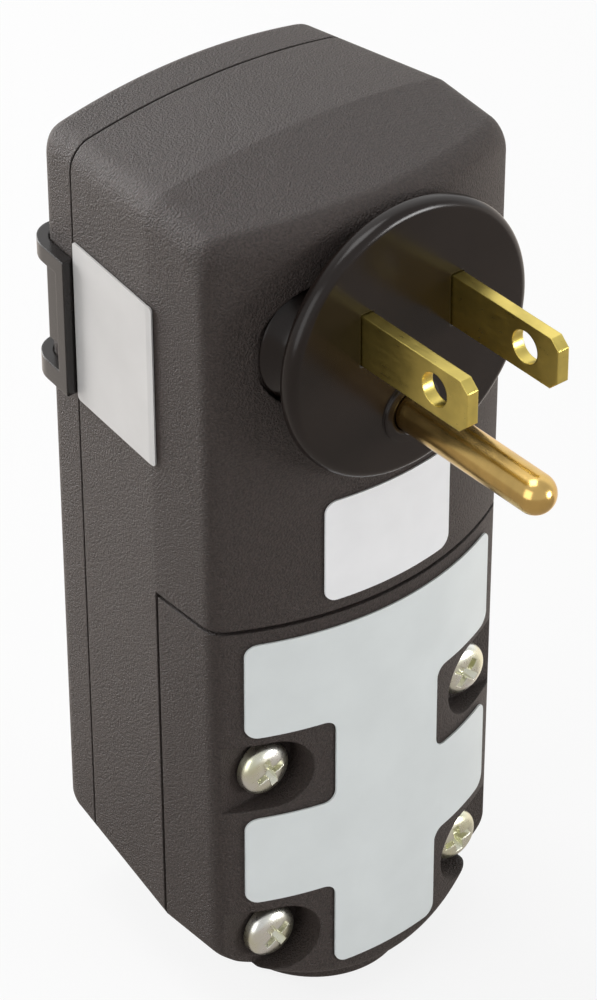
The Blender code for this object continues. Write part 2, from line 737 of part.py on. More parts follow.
def make_rear_cover():
    """Rear shell with the two button holes and sunk screws."""
    cover = keep(case_form("rear_cover", 0.0), slab(PARTING_Y + CLEARANCE / 2, FAR))
    cut(cover, case_form("inside", WALL))
    for x, z in mirrored(CASE_SCREWS):
        join(cover, rod("boss", "Y", (x, z), CASE_SINK_BOSS_R, PARTING_Y + CLEARANCE, REAR_Y - WALL_BITE))
    corner = (FRAME_HALF_W - FRAME_POST_R, FRAME_TOP - FRAME_POST_R)
    between = BUTTON_X - BUTTON_HALF_W - BUTTON_FLANGE - CLEARANCE
    for (x, z), radius in [(at, FRAME_POST_R) for at in mirrored((corner,))] + [((0.0, BUTTON_Z), between)]:
        join(cover, rod("post", "Y", (x, z), radius,
                        FRAME_Y + FRAME_THICK + CLEARANCE, REAR_Y - WALL_BITE, count=16))
    for x in (-BUTTON_X, BUTTON_X):
        half_w = BUTTON_HALF_W + CLEARANCE
        half_h = BUTTON_HALF_H + CLEARANCE
        cut(cover, box("hole", (x - half_w, REAR_Y - WALL - 1.0, BUTTON_Z - half_h),
                       (x + half_w, REAR_Y + 5.0, BUTTON_Z + half_h)))
    for x, z in mirrored(CASE_SCREWS):
        cut(cover, rod("sink", "Y", (x, z), CASE_SCREW_HEAD_R + CLEARANCE,
                       REAR_Y - CASE_SCREW_SINK, REAR_Y + 5.0))
        cut(cover, rod("hole", "Y", (x, z), CASE_SCREW_SHANK_R + CLEARANCE, PARTING_Y - 1.0, REAR_Y, count=16))
    return finish(cover, "case_black", 30.0)


def make_plug_base():
    """Round plug face on a flared oval neck, with a grooved stem through the case."""
    steps = [math.radians(a) for a in (0, 30, 60, 90)]
    rim = [(FLANGE_R - FLANGE_RIM_R + FLANGE_RIM_R * math.sin(a), FLANGE_RIM_R - FLANGE_RIM_R * math.cos(a))
           for a in steps]
    base = turned("plug_base", "Y", (0.0, 0.0), rim + [(FLANGE_R, FLANGE_THICK - 0.5),
                                                       (FLANGE_R - 0.5, FLANGE_THICK)], count=48)
    neck_end = NECK_SEAT_Y - CLEARANCE
    rings = []
    for i in range(7):
        t = i / 6
        y = FLANGE_THICK - 0.6 + (neck_end - FLANGE_THICK + 0.6) * t
        radius = NECK_WAIST_R + (NECK_R - NECK_WAIST_R) * t ** 1.8
        rings.append([(a, y, b) for a, b in stadium(NECK_SPAN, radius, NECK_CENTRE_Z)])
    join(base, loft("neck", rings))
    lip_y = PAD_Y + GROOVE_DEPTH
    core = neck_end - 1.0
    join(base, prism("stem", stadium(NECK_SPAN, STEM_R, NECK_CENTRE_Z), "Y", core, PAD_Y))
    join(base, prism("groove", stadium(NECK_SPAN, STEM_GROOVE_R, NECK_CENTRE_Z), "Y", core, lip_y + 0.3))
    join(base, prism("lip", stadium(NECK_SPAN, STEM_R, NECK_CENTRE_Z), "Y", lip_y, lip_y + LIP_THICK))
    join(base, rod("pin_boss", "Y", (0.0, PIN_Z), PIN_BOSS_R, FLANGE_THICK - 0.6, PAD_Y))
    join(base, rod("collar", "Y", (0.0, PIN_Z), COLLAR_R, -COLLAR_HEIGHT, 0.8))
    half = BLADE_HEIGHT / 2 + CLEARANCE
    thick = BLADE_THICK / 2 + CLEARANCE
    for x in (-BLADE_X, BLADE_X):
        cut(base, box("slot", (x - thick, -FAR, BLADE_Z - half), (x + thick, FAR, BLADE_Z + half)))
    cut(base, rod("hole", "Y", (0.0, PIN_Z), PIN_R + CLEARANCE, -FAR, FAR))
    return finish(base, "smooth_black", 30.0)


def make_retainer():
    """Open clip that slides into the stem groove behind the case wall."""
    reach = NECK_SPAN + STEM_GROOVE_R + CLEARANCE + RETAINER_RIM
    top = NECK_CENTRE_Z + STEM_GROOVE_R + CLEARANCE + RETAINER_RIM - 0.4
    low = NECK_CENTRE_Z - STEM_GROOVE_R
    lo_y = PAD_Y + CLEARANCE
    hi_y = PAD_Y + GROOVE_DEPTH - CLEARANCE
    clip = box("plug_retainer", (-reach, lo_y, low), (reach, hi_y, top))
    opening = prism("gap", stadium(NECK_SPAN, STEM_GROOVE_R + CLEARANCE, NECK_CENTRE_Z), "Y", 0.0, 30.0)
    mouth = NECK_SPAN + STEM_GROOVE_R + CLEARANCE
    join(opening, box("mouth", (-mouth, 0.0, low - 5.0), (mouth, 30.0, NECK_CENTRE_Z)))
    return finish(cut(clip, opening), "nylon")


def make_blade(name, x):
    """Flat brass blade with a tapered tip, a hole and a narrow tail."""
    half = BLADE_HEIGHT / 2
    tip = half - BLADE_TIP_DROP
    tail = TAIL_HEIGHT / 2
    shoulder = PAD_Y + GROOVE_DEPTH
    outline = [(-BLADE_LENGTH, -tip), (-BLADE_LENGTH + BLADE_TIP, -half), (shoulder, -half), (shoulder, -tail),
               (TAIL_Y, -tail), (TAIL_Y, tail), (shoulder, tail), (shoulder, half),
               (-BLADE_LENGTH + BLADE_TIP, half), (-BLADE_LENGTH, tip)]
    outline = [(y, BLADE_Z + z) for y, z in outline]
    blade = prism(name, outline, "X", x - BLADE_THICK / 2, x + BLADE_THICK / 2)
    cut(blade, rod("hole", "X", (BLADE_HOLE_Y, BLADE_Z), BLADE_HOLE_R, x - 5.0, x + 5.0))
    return finish(blade, "brass", 30.0)


def make_pin():
    """Round ground pin with a domed end and a thin tail."""
    dome = [(PIN_R * math.sin(math.radians(a)), -PIN_LENGTH + PIN_R - PIN_R * math.cos(math.radians(a)))
            for a in (6, 24, 42, 60, 76, 90)]
    profile = dome + [(PIN_R, PAD_Y), (PIN_TAIL_R, PAD_Y), (PIN_TAIL_R, TAIL_Y)]
    return finish(turned("ground_pin", "Y", (0.0, PIN_Z), profile, count=28), "brass", 40.0)


def cross_screw(name, axis_x, axis_z, head_y, head_r, head_h, shank_r, length, sign, slot):
    """Pan head screw with a cross recess: sign +1 drives along +Y, -1 along -Y."""
    profile = [(head_r * 0.45, head_y - sign * head_h), (head_r * 0.8, head_y - sign * head_h * 0.86),
               (head_r * 0.97, head_y - sign * head_h * 0.55), (head_r, head_y),
               (shank_r, head_y), (shank_r, head_y + sign * length)]
    if sign < 0:
        profile = profile[::-1]
    screw = turned(name, "Y", (axis_x, axis_z), profile, count=16)
    arm = head_r * 0.55
    half = SCREW_SLOT_W / 2
    ends = sorted((head_y - sign * (head_h - SCREW_SLOT_D), head_y - sign * (head_h + 2.0)))
    cut(screw, box("a", (axis_x - arm, ends[0], axis_z - half), (axis_x + arm, ends[1], axis_z + half)))
    cut(screw, box("b", (axis_x - half, ends[0], axis_z - arm), (axis_x + half, ends[1], axis_z + arm)))
    return finish(screw, slot, 40.0)


def skin(name, outline, axis, lo, hi, slot):
    """Thin label that lies on the case within an outline."""
    label = case_form(name, -LABEL_GAP - LABEL_THICK)
    cut(label, case_form("under", -LABEL_GAP))
    return finish(keep(label, prism("outline", outline, axis, lo, hi)), slot)


def make_labels():
    """Side rating label, front serial label and the stepped wiring label, all blank."""
    corners = [(-SERIAL_HALF_W, SERIAL_BOTTOM), (SERIAL_HALF_W, SERIAL_BOTTOM),
               (SERIAL_HALF_W, SERIAL_TOP), (-SERIAL_HALF_W, SERIAL_TOP)]
    skin("serial_label", rounded(corners, LABEL_CORNER_R), "Y", -FAR, JOINT_Y, "label_white")
    top = SEAM_Z - WIRING_TOP_GAP
    notch = UPPER_SCREW_Z + WIRING_ABOVE_UPPER
    block = UPPER_SCREW_Z - WIRING_BELOW_UPPER
    stem = LOWER_SCREW_Z + WIRING_ABOVE_LOWER
    low = CASE_BOTTOM + WIRING_LOW_GAP
    right = [(WIRING_WAIST, low), (WIRING_WAIST, stem), (WIRING_HALF_W, stem), (WIRING_HALF_W, block),
             (WIRING_WAIST, block), (WIRING_WAIST, notch), (WIRING_HALF_W, notch), (WIRING_HALF_W, top)]
    corners = right + [(-x, z) for x, z in right[::-1]]
    skin("wiring_label", rounded(corners, LABEL_CORNER_R), "Y", -FAR, JOINT_Y, "label_silver")
    front = RATING_FRONT_Y
    rear = PARTING_Y - CLEARANCE
    corners = [(front, RATING_BOTTOM), (rear, RATING_BOTTOM), (rear, RATING_TOP), (front, RATING_TOP)]
    skin("rating_label", rounded(corners, LABEL_CORNER_R / 3), "X", -FAR, 0.0, "label_silver")


def make_guard():
    """Band round the rear of the case: bars at the sides, two straps, a thin web in each window."""
    outer = GUARD_GAP + GUARD_THICK
    guard = case_form("button_guard", -outer)
    cut(guard, case_form("under", -GUARD_GAP))
    keep(guard, slab(PARTING_Y, FAR, GUARD_BOTTOM, GUARD_TOP))
    window_top = GUARD_TOP - GUARD_STRAP_TOP
    window_low = GUARD_BOTTOM + GUARD_STRAP_BOTTOM
    cut(guard, slab(PARTING_Y + GUARD_BAR, FAR, window_low, window_top))
    for sign in (-1, 1):
        web = case_form("web", -outer + GUARD_WEB_DROP)
        cut(web, case_form("under", -GUARD_GAP))
        inner = min(sign * FAR, sign * (REAR_HALF_WIDTH - REAR_CORNER_R))
        end = max(sign * FAR, sign * (REAR_HALF_WIDTH - REAR_CORNER_R))
        keep(web, box("zone", (inner, PARTING_Y + GUARD_BAR / 2, GUARD_WEB_BOTTOM),
                      (end, REAR_Y - REAR_CORNER_R, window_top + GUARD_STRAP_TOP / 2)))
        join(guard, web)
    return finish(guard, "smooth_black", 30.0)


def make_button(name, x, slot, stem_end):
    """Rear button: a cap through the cover, a stop flange and a rod."""
    flange_y = REAR_Y - WALL - CLEARANCE
    proud = REAR_Y + BUTTON_PROUD
    rings = []
    for y, shrink in ((flange_y - 0.4, 0.0), (proud - BUTTON_EDGE, 0.0), (proud, BUTTON_EDGE)):
        w = BUTTON_HALF_W - shrink
        h = BUTTON_HALF_H - shrink
        rings.append([(x - w, y, BUTTON_Z - h), (x + w, y, BUTTON_Z - h),
                      (x + w, y, BUTTON_Z + h), (x - w, y, BUTTON_Z + h)])
    button = loft(name, rings)
    w = BUTTON_HALF_W + BUTTON_FLANGE
    h = BUTTON_HALF_H + BUTTON_FLANGE
    join(button, box("flange", (x - w, flange_y - BUTTON_FLANGE_THICK, BUTTON_Z - h),
                     (x + w, flange_y, BUTTON_Z + h)))
    join(button, rod("rod", "Y", (x, BUTTON_Z), STEM_ROD_R, stem_end, flange_y - 0.4, count=20))
    return finish(button, slot, 30.0)


def make_spring(name, x, count=10, sides=5):
    """Coil spring between the mechanism frame and a button flange."""
    lo = FRAME_Y + FRAME_THICK + CLEARANCE + SPRING_WIRE_R
    hi = REAR_Y - WALL - CLEARANCE - BUTTON_FLANGE_THICK - CLEARANCE - SPRING_WIRE_R
    rings = []
    for i in range(SPRING_TURNS * count + 1):
        a = 2.0 * math.pi * i / count
        y = lo + (hi - lo) * i / (SPRING_TURNS * count)
        ring = []
        for j in range(sides):
            b = 2.0 * math.pi * j / sides
            r = SPRING_R + SPRING_WIRE_R * math.cos(b)
            ring.append((x + r * math.cos(a), y + SPRING_WIRE_R * math.sin(b), BUTTON_Z + r * math.sin(a)))
        rings.append(ring)
    return finish(loft(name, rings), "steel", 60.0)


def make_mechanism():
    """Frame plate, contact carrier, bridges, latch, solenoid and plunger."""
    frame = box("mechanism_frame", (-FRAME_HALF_W, FRAME_Y, FRAME_BOTTOM),
                (FRAME_HALF_W, FRAME_Y + FRAME_THICK, FRAME_TOP))
    for x in (-BUTTON_X, BUTTON_X):
        cut(frame, rod("hole", "Y", (x, BUTTON_Z), STEM_ROD_R + CLEARANCE, 0.0, REAR_Y, count=20))
    finish(frame, "nylon")
    bridge_y = CONTACT_Y - CLEARANCE - BRIDGE_THICK
    carrier_hi = bridge_y - CLEARANCE
    carrier_lo = carrier_hi - CARRIER_DEPTH
    carrier = box("contact_carrier", (-CARRIER_HALF_W, carrier_lo, CARRIER_BOTTOM),
                  (CARRIER_HALF_W, carrier_hi, CARRIER_TOP))
    cut(carrier, rod("hole", "Y", (BUTTON_X, BUTTON_Z), STEM_ROD_R + CLEARANCE, 0.0, REAR_Y, count=20))
    hook_lo = LATCH_RIGHT + CLEARANCE
    hook_z = BUTTON_Z + LATCH_HALF_H - 1.0
    cut(carrier, box("notch", (hook_lo - PLUNGER_TRAVEL - CLEARANCE, 0.0, hook_z - CLEARANCE),
                     (hook_lo + HOOK_THICK + CLEARANCE, carrier_lo + CARRIER_TRAVEL + CLEARANCE, FAR)))
    finish(carrier, "nylon")
    for x, side in ((-CONTACT_X, "hot"), (CONTACT_X, "neutral")):
        bridge = box("bridge_" + side, (x - CONTACT_HALF_W + 0.4, bridge_y, LOAD_PAD_BOTTOM),
                     (x + CONTACT_HALF_W - 0.4, bridge_y + BRIDGE_THICK, BLADE_Z + TAIL_HEIGHT / 2 - 0.6))
        finish(bridge, "copper")
    latch_hi = carrier_lo - CLEARANCE
    latch = box("latch_plate", (LATCH_LEFT, latch_hi - LATCH_THICK, BUTTON_Z - LATCH_HALF_H - 2.0),
                (LATCH_RIGHT, latch_hi, BUTTON_Z + LATCH_HALF_H + 2.0))
    cut(latch, rod("hole", "Y", (BUTTON_X, BUTTON_Z), LATCH_HOLE_R, 0.0, REAR_Y, count=20))
    finish(latch, "steel")
    tube = [(BOBBIN_TUBE_R - 0.3, -BOBBIN_HALF_L), (BOBBIN_R, -BOBBIN_HALF_L),
            (BOBBIN_R, -BOBBIN_HALF_L + BOBBIN_FLANGE), (BOBBIN_TUBE_R + 0.6, -BOBBIN_HALF_L + BOBBIN_FLANGE),
            (BOBBIN_TUBE_R + 0.6, BOBBIN_HALF_L - BOBBIN_FLANGE), (BOBBIN_R, BOBBIN_HALF_L - BOBBIN_FLANGE),
            (BOBBIN_R, BOBBIN_HALF_L), (BOBBIN_TUBE_R - 0.3, BOBBIN_HALF_L)]
    bobbin = ring_solid("solenoid_bobbin", "X", (SOLENOID_Y, SOLENOID_Z), tube, count=24)
    foot_lo = BOARD_Y + BOARD_THICK + CLEARANCE
    foot_hi = SOLENOID_Y - BOBBIN_TUBE_R - 1.0
    for end in (-BOBBIN_HALF_L, BOBBIN_HALF_L - BOBBIN_FLANGE):
        foot = box("foot", (end, foot_lo, SOLENOID_Z - BOBBIN_R * 0.7),
                   (end + BOBBIN_FLANGE, foot_hi, BOARD_TOP - 0.4))
        join(bobbin, foot)
    finish(bobbin, "nylon", 30.0)
    end = BOBBIN_HALF_L - BOBBIN_FLANGE - CLEARANCE
    inner = BOBBIN_TUBE_R + 0.6 + CLEARANCE
    wound = [(inner, -end), (COIL_R, -end), (COIL_R, end), (inner, end)]
    finish(ring_solid("solenoid_coil", "X", (SOLENOID_Y, SOLENOID_Z), wound, count=24), "copper", 30.0)
    plunger = rod("trip_plunger", "X", (SOLENOID_Y, SOLENOID_Z), PLUNGER_R, PLUNGER_LEFT, PLUNGER_RIGHT)
    join(plunger, box("reach", (PLUNGER_RIGHT - 1.5, SOLENOID_Y - HOOK_HALF_W, SOLENOID_Z - PLUNGER_R),
                      (hook_lo + HOOK_THICK, SOLENOID_Y + HOOK_HALF_W, SOLENOID_Z)))
    arm_y = latch_hi - LATCH_THICK / 2
    join(plunger, box("neck", (hook_lo, arm_y - 1.0, SOLENOID_Z - PLUNGER_R),
                      (hook_lo + HOOK_THICK, SOLENOID_Y + HOOK_HALF_W, SOLENOID_Z)))
    join(plunger, box("hook", (hook_lo, arm_y - CARRIER_TRAVEL - 0.8, hook_z),
                      (hook_lo + HOOK_THICK, latch_hi, SOLENOID_Z - PLUNGER_R + 0.5)))
    finish(plunger, "steel", 30.0)


def make_conductors():
    """Line and load strips, the ground strap, terminals and the test leaf."""
    half = TAIL_HEIGHT / 2 - 0.4
    for sign, side in ((-1, "hot"), (1, "neutral")):
        start = BLADE_X + BLADE_THICK / 2 + CLEARANCE + STRIP_THICK / 2
        run_y = LINE_RUN_Y + STRIP_THICK / 2
        pad_y = CONTACT_Y + STRIP_THICK / 2
        path = [(start, TAIL_Y), (start, run_y), (LINE_STRIP_X, run_y), (LINE_STRIP_X, pad_y),
                (CONTACT_X - CONTACT_HALF_W, pad_y)]
        outline = [(sign * x, y) for x, y in strip_outline(path, STRIP_THICK)]
        strip = prism("line_contact_" + side, outline, "Z", BLADE_Z - half, BLADE_Z + half)
        finish(strip, "brass")
        in_x = LOAD_NECK_X - LOAD_NECK_HALF_W
        out_x = LOAD_NECK_X + LOAD_NECK_HALF_W
        left = CONTACT_X - CONTACT_HALF_W
        right = CONTACT_X + CONTACT_HALF_W
        turn = LOAD_PAD_BOTTOM - 2.4
        foot = SEAM_Z - 1.2
        reach = TERMINAL_X + TERMINAL_HALF - 1.0
        low = TERMINAL_Z - TERMINAL_HALF + 1.0
        near = TERMINAL_X - TERMINAL_HALF + 1.0
        outline = [(left, LOAD_PAD_TOP), (left, LOAD_PAD_BOTTOM), (in_x, LOAD_PAD_BOTTOM), (in_x, foot - 2.4),
                   (near, foot - 2.4), (near, low), (reach, low), (reach, foot), (out_x, foot),
                   (out_x, turn), (right, turn), (right, LOAD_PAD_TOP)]
        strip = prism("load_contact_" + side, [(sign * x, z) for x, z in outline], "Y",
                      CONTACT_Y, CONTACT_Y + STRIP_THICK)
        cut(strip, rod("hole", "Y", (sign * TERMINAL_X, TERMINAL_Z), SCREW_SHANK_R + CLEARANCE,
                       0.0, REAR_Y, count=16))
        finish(strip, "brass")
    run_y = LINE_RUN_Y + STRIP_THICK / 2
    face_y = GROUND_FACE_Y + STRIP_THICK / 2
    path = [(run_y, PIN_Z + PIN_R + 1.2), (run_y, GROUND_RUN_Z), (face_y, GROUND_RUN_Z),
            (face_y, GROUND_TERMINAL_Z - TERMINAL_HALF + 0.6)]
    strap = prism("ground_strap", strip_outline(path, STRIP_THICK), "X", -GROUND_HALF_W, GROUND_HALF_W)
    cut(strap, rod("pin", "Y", (0.0, PIN_Z), PIN_TAIL_R + CLEARANCE, 0.0, BOARD_Y + 2.0, count=16))
    cut(strap, rod("hole", "Y", (0.0, GROUND_TERMINAL_Z), SCREW_SHANK_R + CLEARANCE, BOARD_Y + 5.0, REAR_Y,
                   count=16))
    finish(strap, "copper")
    places = (("hot", -TERMINAL_X, TERMINAL_Z, CONTACT_Y), ("neutral", TERMINAL_X, TERMINAL_Z, CONTACT_Y),
              ("ground", 0.0, GROUND_TERMINAL_Z, GROUND_FACE_Y))
    for side, x, z, back in places:
        hi = back - CLEARANCE
        lo = hi - TERMINAL_THICK
        half = TERMINAL_HALF - 0.6
        plate = box("terminal_plate_" + side, (x - half, lo, z - half), (x + half, hi, z + half))
        cut(plate, rod("hole", "Y", (x, z), SCREW_SHANK_R + CLEARANCE, 0.0, REAR_Y, count=16))
        finish(plate, "brass")
        cross_screw("terminal_screw_" + side, x, z, lo - CLEARANCE, TERMINAL_HEAD_R, TERMINAL_HEAD_H,
                    SCREW_SHANK_R, TERMINAL_SCREW_LENGTH, 1, "steel" if side == "neutral" else "brass")
    near = -BUTTON_X - TEST_LEAF_HALF_W
    far = -BUTTON_X + TEST_LEAF_HALF_W
    low = FRAME_BOTTOM + 0.6
    leaf = box("test_leaf", (near, TEST_LEAF_Y, low),
               (far, TEST_LEAF_Y + TEST_LEAF_THICK, BUTTON_Z + TEST_LEAF_HALF_W))
    join(leaf, box("root", (near, TEST_LEAF_Y, low), (far, FRAME_Y - CLEARANCE, low + 2 * TEST_LEAF_THICK)))
    finish(leaf, "copper")


def make_electronics():
    """Board, the two sensing rings and the parts on the board."""
    board = box("circuit_board", (-BOARD_HALF_W, BOARD_Y, BOARD_BOTTOM),
                (BOARD_HALF_W, BOARD_Y + BOARD_THICK, BOARD_TOP))
    finish(board, "board_green")
    centre = (0.0, CONTACT_Y + STRIP_THICK / 2)
    for i, name in enumerate(("sense_toroid", "neutral_toroid")):
        hi = TOROID_TOP - i * TOROID_PITCH
        lo = hi - TOROID_H
        loop = [(TOROID_HOLE_R, lo), (TOROID_R, lo), (TOROID_R, hi), (TOROID_HOLE_R, hi)]
        ring = ring_solid(name, "Z", centre, loop, count=28)
        foot = box("foot", (-3.0, BOARD_Y + BOARD_THICK + CLEARANCE, lo + 0.6),
                   (3.0, centre[1] - TOROID_HOLE_R - 0.8, hi - 0.6))
        finish(join(ring, foot), "ferrite", 30.0)
    face = BOARD_Y + BOARD_THICK + CLEARANCE
    left = -BOARD_HALF_W + CHIP_INSET
    low = BOARD_BOTTOM + CHIP_RISE
    finish(box("control_chip", (left, face, low), (left + CHIP_WIDTH, face + CHIP_H, low + CHIP_LENGTH)),
           "part_black")
    left = -BOARD_HALF_W + PART_MARGIN
    low = BOARD_BOTTOM + CAPACITOR_RISE
    high = TOROID_TOP - TOROID_PITCH - TOROID_H - CLEARANCE
    finish(box("filter_capacitor", (left, face, low), (left + CAPACITOR_WIDTH, face + CAPACITOR_H, high)),
           "part_blue")
    right = BOARD_HALF_W - PART_MARGIN
    finish(rod("surge_varistor", "X", (face + VARISTOR_R, BOARD_BOTTOM + VARISTOR_RISE), VARISTOR_R,
               right - VARISTOR_THICK, right), "part_blue", 30.0)
    finish(rod("test_resistor", "X", (face + RESISTOR_R, BOARD_BOTTOM + RESISTOR_RISE), RESISTOR_R,
               right - RESISTOR_LENGTH, right, count=16), "nylon", 30.0)


def make_cord_entry():
    """Rubber grommet in the neck and the arched clamp over the cord."""
    loop = [(GROMMET_INNER_R, NECK_BOTTOM + 0.6), (CORD_BORE_R - CLEARANCE, NECK_BOTTOM + 0.6),
            (CORD_BORE_R - CLEARANCE, GROMMET_TOP - GROMMET_FLANGE_H),
            (GROMMET_FLANGE_R, GROMMET_TOP - GROMMET_FLANGE_H), (GROMMET_FLANGE_R, GROMMET_TOP),
            (GROMMET_INNER_R, GROMMET_TOP)]
    finish(ring_solid("cord_grommet", "Z", (0.0, CORD_Y), loop, count=40), "rubber", 30.0)
    mid = CLAMP_ARCH_R + CLAMP_THICK / 2
    ear = CLAMP_EAR_Y - CLAMP_THICK / 2
    arch = [(mid * math.cos(a), CORD_Y - mid * math.sin(a) + 0.4)
            for a in [math.pi * i / 12 for i in range(1, 12)]]
    end = CLAMP_SCREW_X + CLAMP_EAR
    path = [(end, ear), (mid * 0.98, ear)] + arch + [(-mid * 0.98, ear), (-end, ear)]
    clamp = prism("cord_clamp", strip_outline(path, CLAMP_THICK), "Z",
                  CLAMP_Z - CLAMP_HALF_H, CLAMP_Z + CLAMP_HALF_H)
    for x in (-CLAMP_SCREW_X, CLAMP_SCREW_X):
        cut(clamp, rod("hole", "Y", (x, CLAMP_Z), SCREW_SHANK_R + CLEARANCE, ear - 2.0, REAR_Y, count=16))
    finish(clamp, "steel", 30.0)
    for x in (-CLAMP_SCREW_X, CLAMP_SCREW_X):
        cross_screw("clamp_screw_" + side_name(x), x, CLAMP_Z, CLAMP_EAR_Y - CLAMP_THICK - CLEARANCE,
                    CLAMP_HEAD_R, CLAMP_HEAD_H, SCREW_SHANK_R, CLAMP_SCREW_LENGTH, 1, "zinc")


def make_screws():
    """Cover screws in the front pockets and case screws sunk in the rear."""
    for level, (half_x, z) in zip(("upper", "lower"), COVER_SCREWS):
        for x in (-half_x, half_x):
            cross_screw("cover_screw_" + level + "_" + side_name(x), x, z, POCKET_FLOOR_Y - CLEARANCE,
                        SCREW_HEAD_R, SCREW_HEAD_H, SCREW_SHANK_R, SCREW_LENGTH, 1, "zinc")
    for level, (half_x, z) in zip(("upper", "lower"), CASE_SCREWS):
        for x in (-half_x, half_x):
            cross_screw("case_screw_" + level + "_" + side_name(x), x, z,
                        REAR_Y - CASE_SCREW_SINK + CLEARANCE, CASE_SCREW_HEAD_R, CASE_SCREW_HEAD_H,
                        CASE_SCREW_SHANK_R, CASE_SCREW_LENGTH, -1, "zinc")


def main():
    """Build every piece of the plug unit."""
    clear_scene()
    make_front_case()
    make_rear_cover()
    make_wiring_cover()
    make_plug_base()
    make_retainer()
    make_blade("hot_blade", -BLADE_X)
    make_blade("neutral_blade", BLADE_X)
    make_pin()
    make_guard()
    latch_face = CONTACT_Y - CLEARANCE - BRIDGE_THICK - CLEARANCE - CARRIER_DEPTH - CLEARANCE - LATCH_THICK
    make_button("reset_button", BUTTON_X, "button_red", latch_face)
    make_button("test_button", -BUTTON_X, "button_black",
                TEST_LEAF_Y + TEST_LEAF_THICK + TEST_TRAVEL + CLEARANCE)
    make_spring("reset_spring", BUTTON_X)
    make_spring("test_spring", -BUTTON_X)
    make_mechanism()
    make_conductors()
    make_electronics()
    make_cord_entry()
    make_screws()
    make_labels()


main()
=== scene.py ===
# %% [markdown]
# This lesson dresses the solid model of a right-angle ground-fault plug unit. The solids stay as
# the fixed frame: every visible piece is rebuilt here as a smooth surface worked out with numpy,
# rides the body that it belongs to, and gets a node material at the scale of the real finish.

import json
import math

import bpy
import numpy as np
from mathutils import Matrix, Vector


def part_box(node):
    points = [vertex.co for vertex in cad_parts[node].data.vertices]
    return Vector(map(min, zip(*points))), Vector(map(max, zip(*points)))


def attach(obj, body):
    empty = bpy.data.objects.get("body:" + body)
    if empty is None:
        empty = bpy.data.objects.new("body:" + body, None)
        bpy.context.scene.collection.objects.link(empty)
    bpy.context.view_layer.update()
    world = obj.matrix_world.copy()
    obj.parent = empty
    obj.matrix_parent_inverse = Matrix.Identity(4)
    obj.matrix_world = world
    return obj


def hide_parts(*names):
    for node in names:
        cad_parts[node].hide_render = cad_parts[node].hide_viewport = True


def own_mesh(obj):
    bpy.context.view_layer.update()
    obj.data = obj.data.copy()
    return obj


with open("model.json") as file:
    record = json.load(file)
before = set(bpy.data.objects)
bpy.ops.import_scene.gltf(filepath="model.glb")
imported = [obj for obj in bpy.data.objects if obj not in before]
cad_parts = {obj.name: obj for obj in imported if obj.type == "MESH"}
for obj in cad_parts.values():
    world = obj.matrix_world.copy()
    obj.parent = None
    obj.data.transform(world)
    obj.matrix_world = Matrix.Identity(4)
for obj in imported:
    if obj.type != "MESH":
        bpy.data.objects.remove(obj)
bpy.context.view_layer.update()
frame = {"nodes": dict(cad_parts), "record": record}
MM = 0.001
scene = bpy.context.scene
scene.view_settings.view_transform = "Standard"
print("frame nodes:", len(frame["nodes"]))

# %% [markdown]
# ## Meshes from arrays
# A surface is a grid of points P[u, v]. One helper turns such a grid into a mesh, closes it round v
# and caps both ends. A second helper cuts one closed form with another, which is how the pockets,
# slots and seams of the moulded shells are made. Sculpting or box modelling could give such shapes
# too, but arrays keep every size exact.

# %% Grid to mesh
def mesh_piece(name, points, faces):
    """Mesh object from an array of points in millimetres and a list of faces."""
    mesh = bpy.data.meshes.new(name)
    mesh.from_pydata((np.asarray(points) * MM).tolist(), [], faces)
    mesh.update()
    piece = bpy.data.objects.new(name, mesh)
    scene.collection.objects.link(piece)
    return piece


def tube_faces(rows, cols):
    """Quads of a grid of rows that is closed round its columns."""
    i = np.arange(rows - 1)[:, None]
    j = np.arange(cols)[None, :]
    k = (j + 1) % cols
    quads = np.stack([i * cols + j, i * cols + k, (i + 1) * cols + k, (i + 1) * cols + j], axis=-1)
    return quads.reshape(-1, 4).tolist()


def tube_piece(name, grid):
    """Closed form from grid P[row, column, xyz]: rows are rings, first and last are capped."""
    rows, cols = grid.shape[:2]
    faces = tube_faces(rows, cols)
    faces.append(list(range(cols))[::-1])
    faces.append(list(range((rows - 1) * cols, rows * cols)))
    piece = mesh_piece(name, grid.reshape(-1, 3), faces)
    return face_out(piece)


def face_out(piece):
    """Turn a closed form right side out by the sign of its volume."""
    mesh = piece.data
    mesh.calc_loop_triangles()
    count = len(mesh.loop_triangles)
    tri = np.empty(count * 3, dtype=np.int32)
    mesh.loop_triangles.foreach_get("vertices", tri)
    co = np.empty(len(mesh.vertices) * 3)
    mesh.vertices.foreach_get("co", co)
    a, b, c = co.reshape(-1, 3)[tri.reshape(-1, 3)].transpose(1, 0, 2)
    if np.einsum("ij,ij->", a, np.cross(b, c)) < 0:
        mesh.flip_normals()
    return piece


def carve(piece, tool, how="DIFFERENCE"):
    """Cut, keep or fuse with a closed tool, apply it and drop the tool."""
    mod = piece.modifiers.new("carve", "BOOLEAN")
    mod.solver = "EXACT"
    mod.operation = how
    mod.object = tool
    graph = bpy.context.evaluated_depsgraph_get()
    mesh = bpy.data.meshes.new_from_object(piece.evaluated_get(graph))
    piece.modifiers.clear()
    piece.data = mesh
    bpy.data.objects.remove(tool, do_unlink=True)
    return piece


def smooth(piece, degrees=28.0):
    """Smooth shading that keeps edges sharper than an angle."""
    piece.data.shade_smooth()
    piece.data.set_sharp_from_angle(angle=math.radians(degrees))
    return piece


print("mesh helpers ready")

# %% [markdown]
# ## Simple tools
# Rings, prisms and lathes are all grids with two or more rows. They serve as pieces and as
# cutting tools. Blender's own primitives would do as well, but would need moving into place.

# %% Rings, prisms, lathes
AXES = {"X": (1, 2, 0), "Y": (0, 2, 1), "Z": (0, 1, 2)}


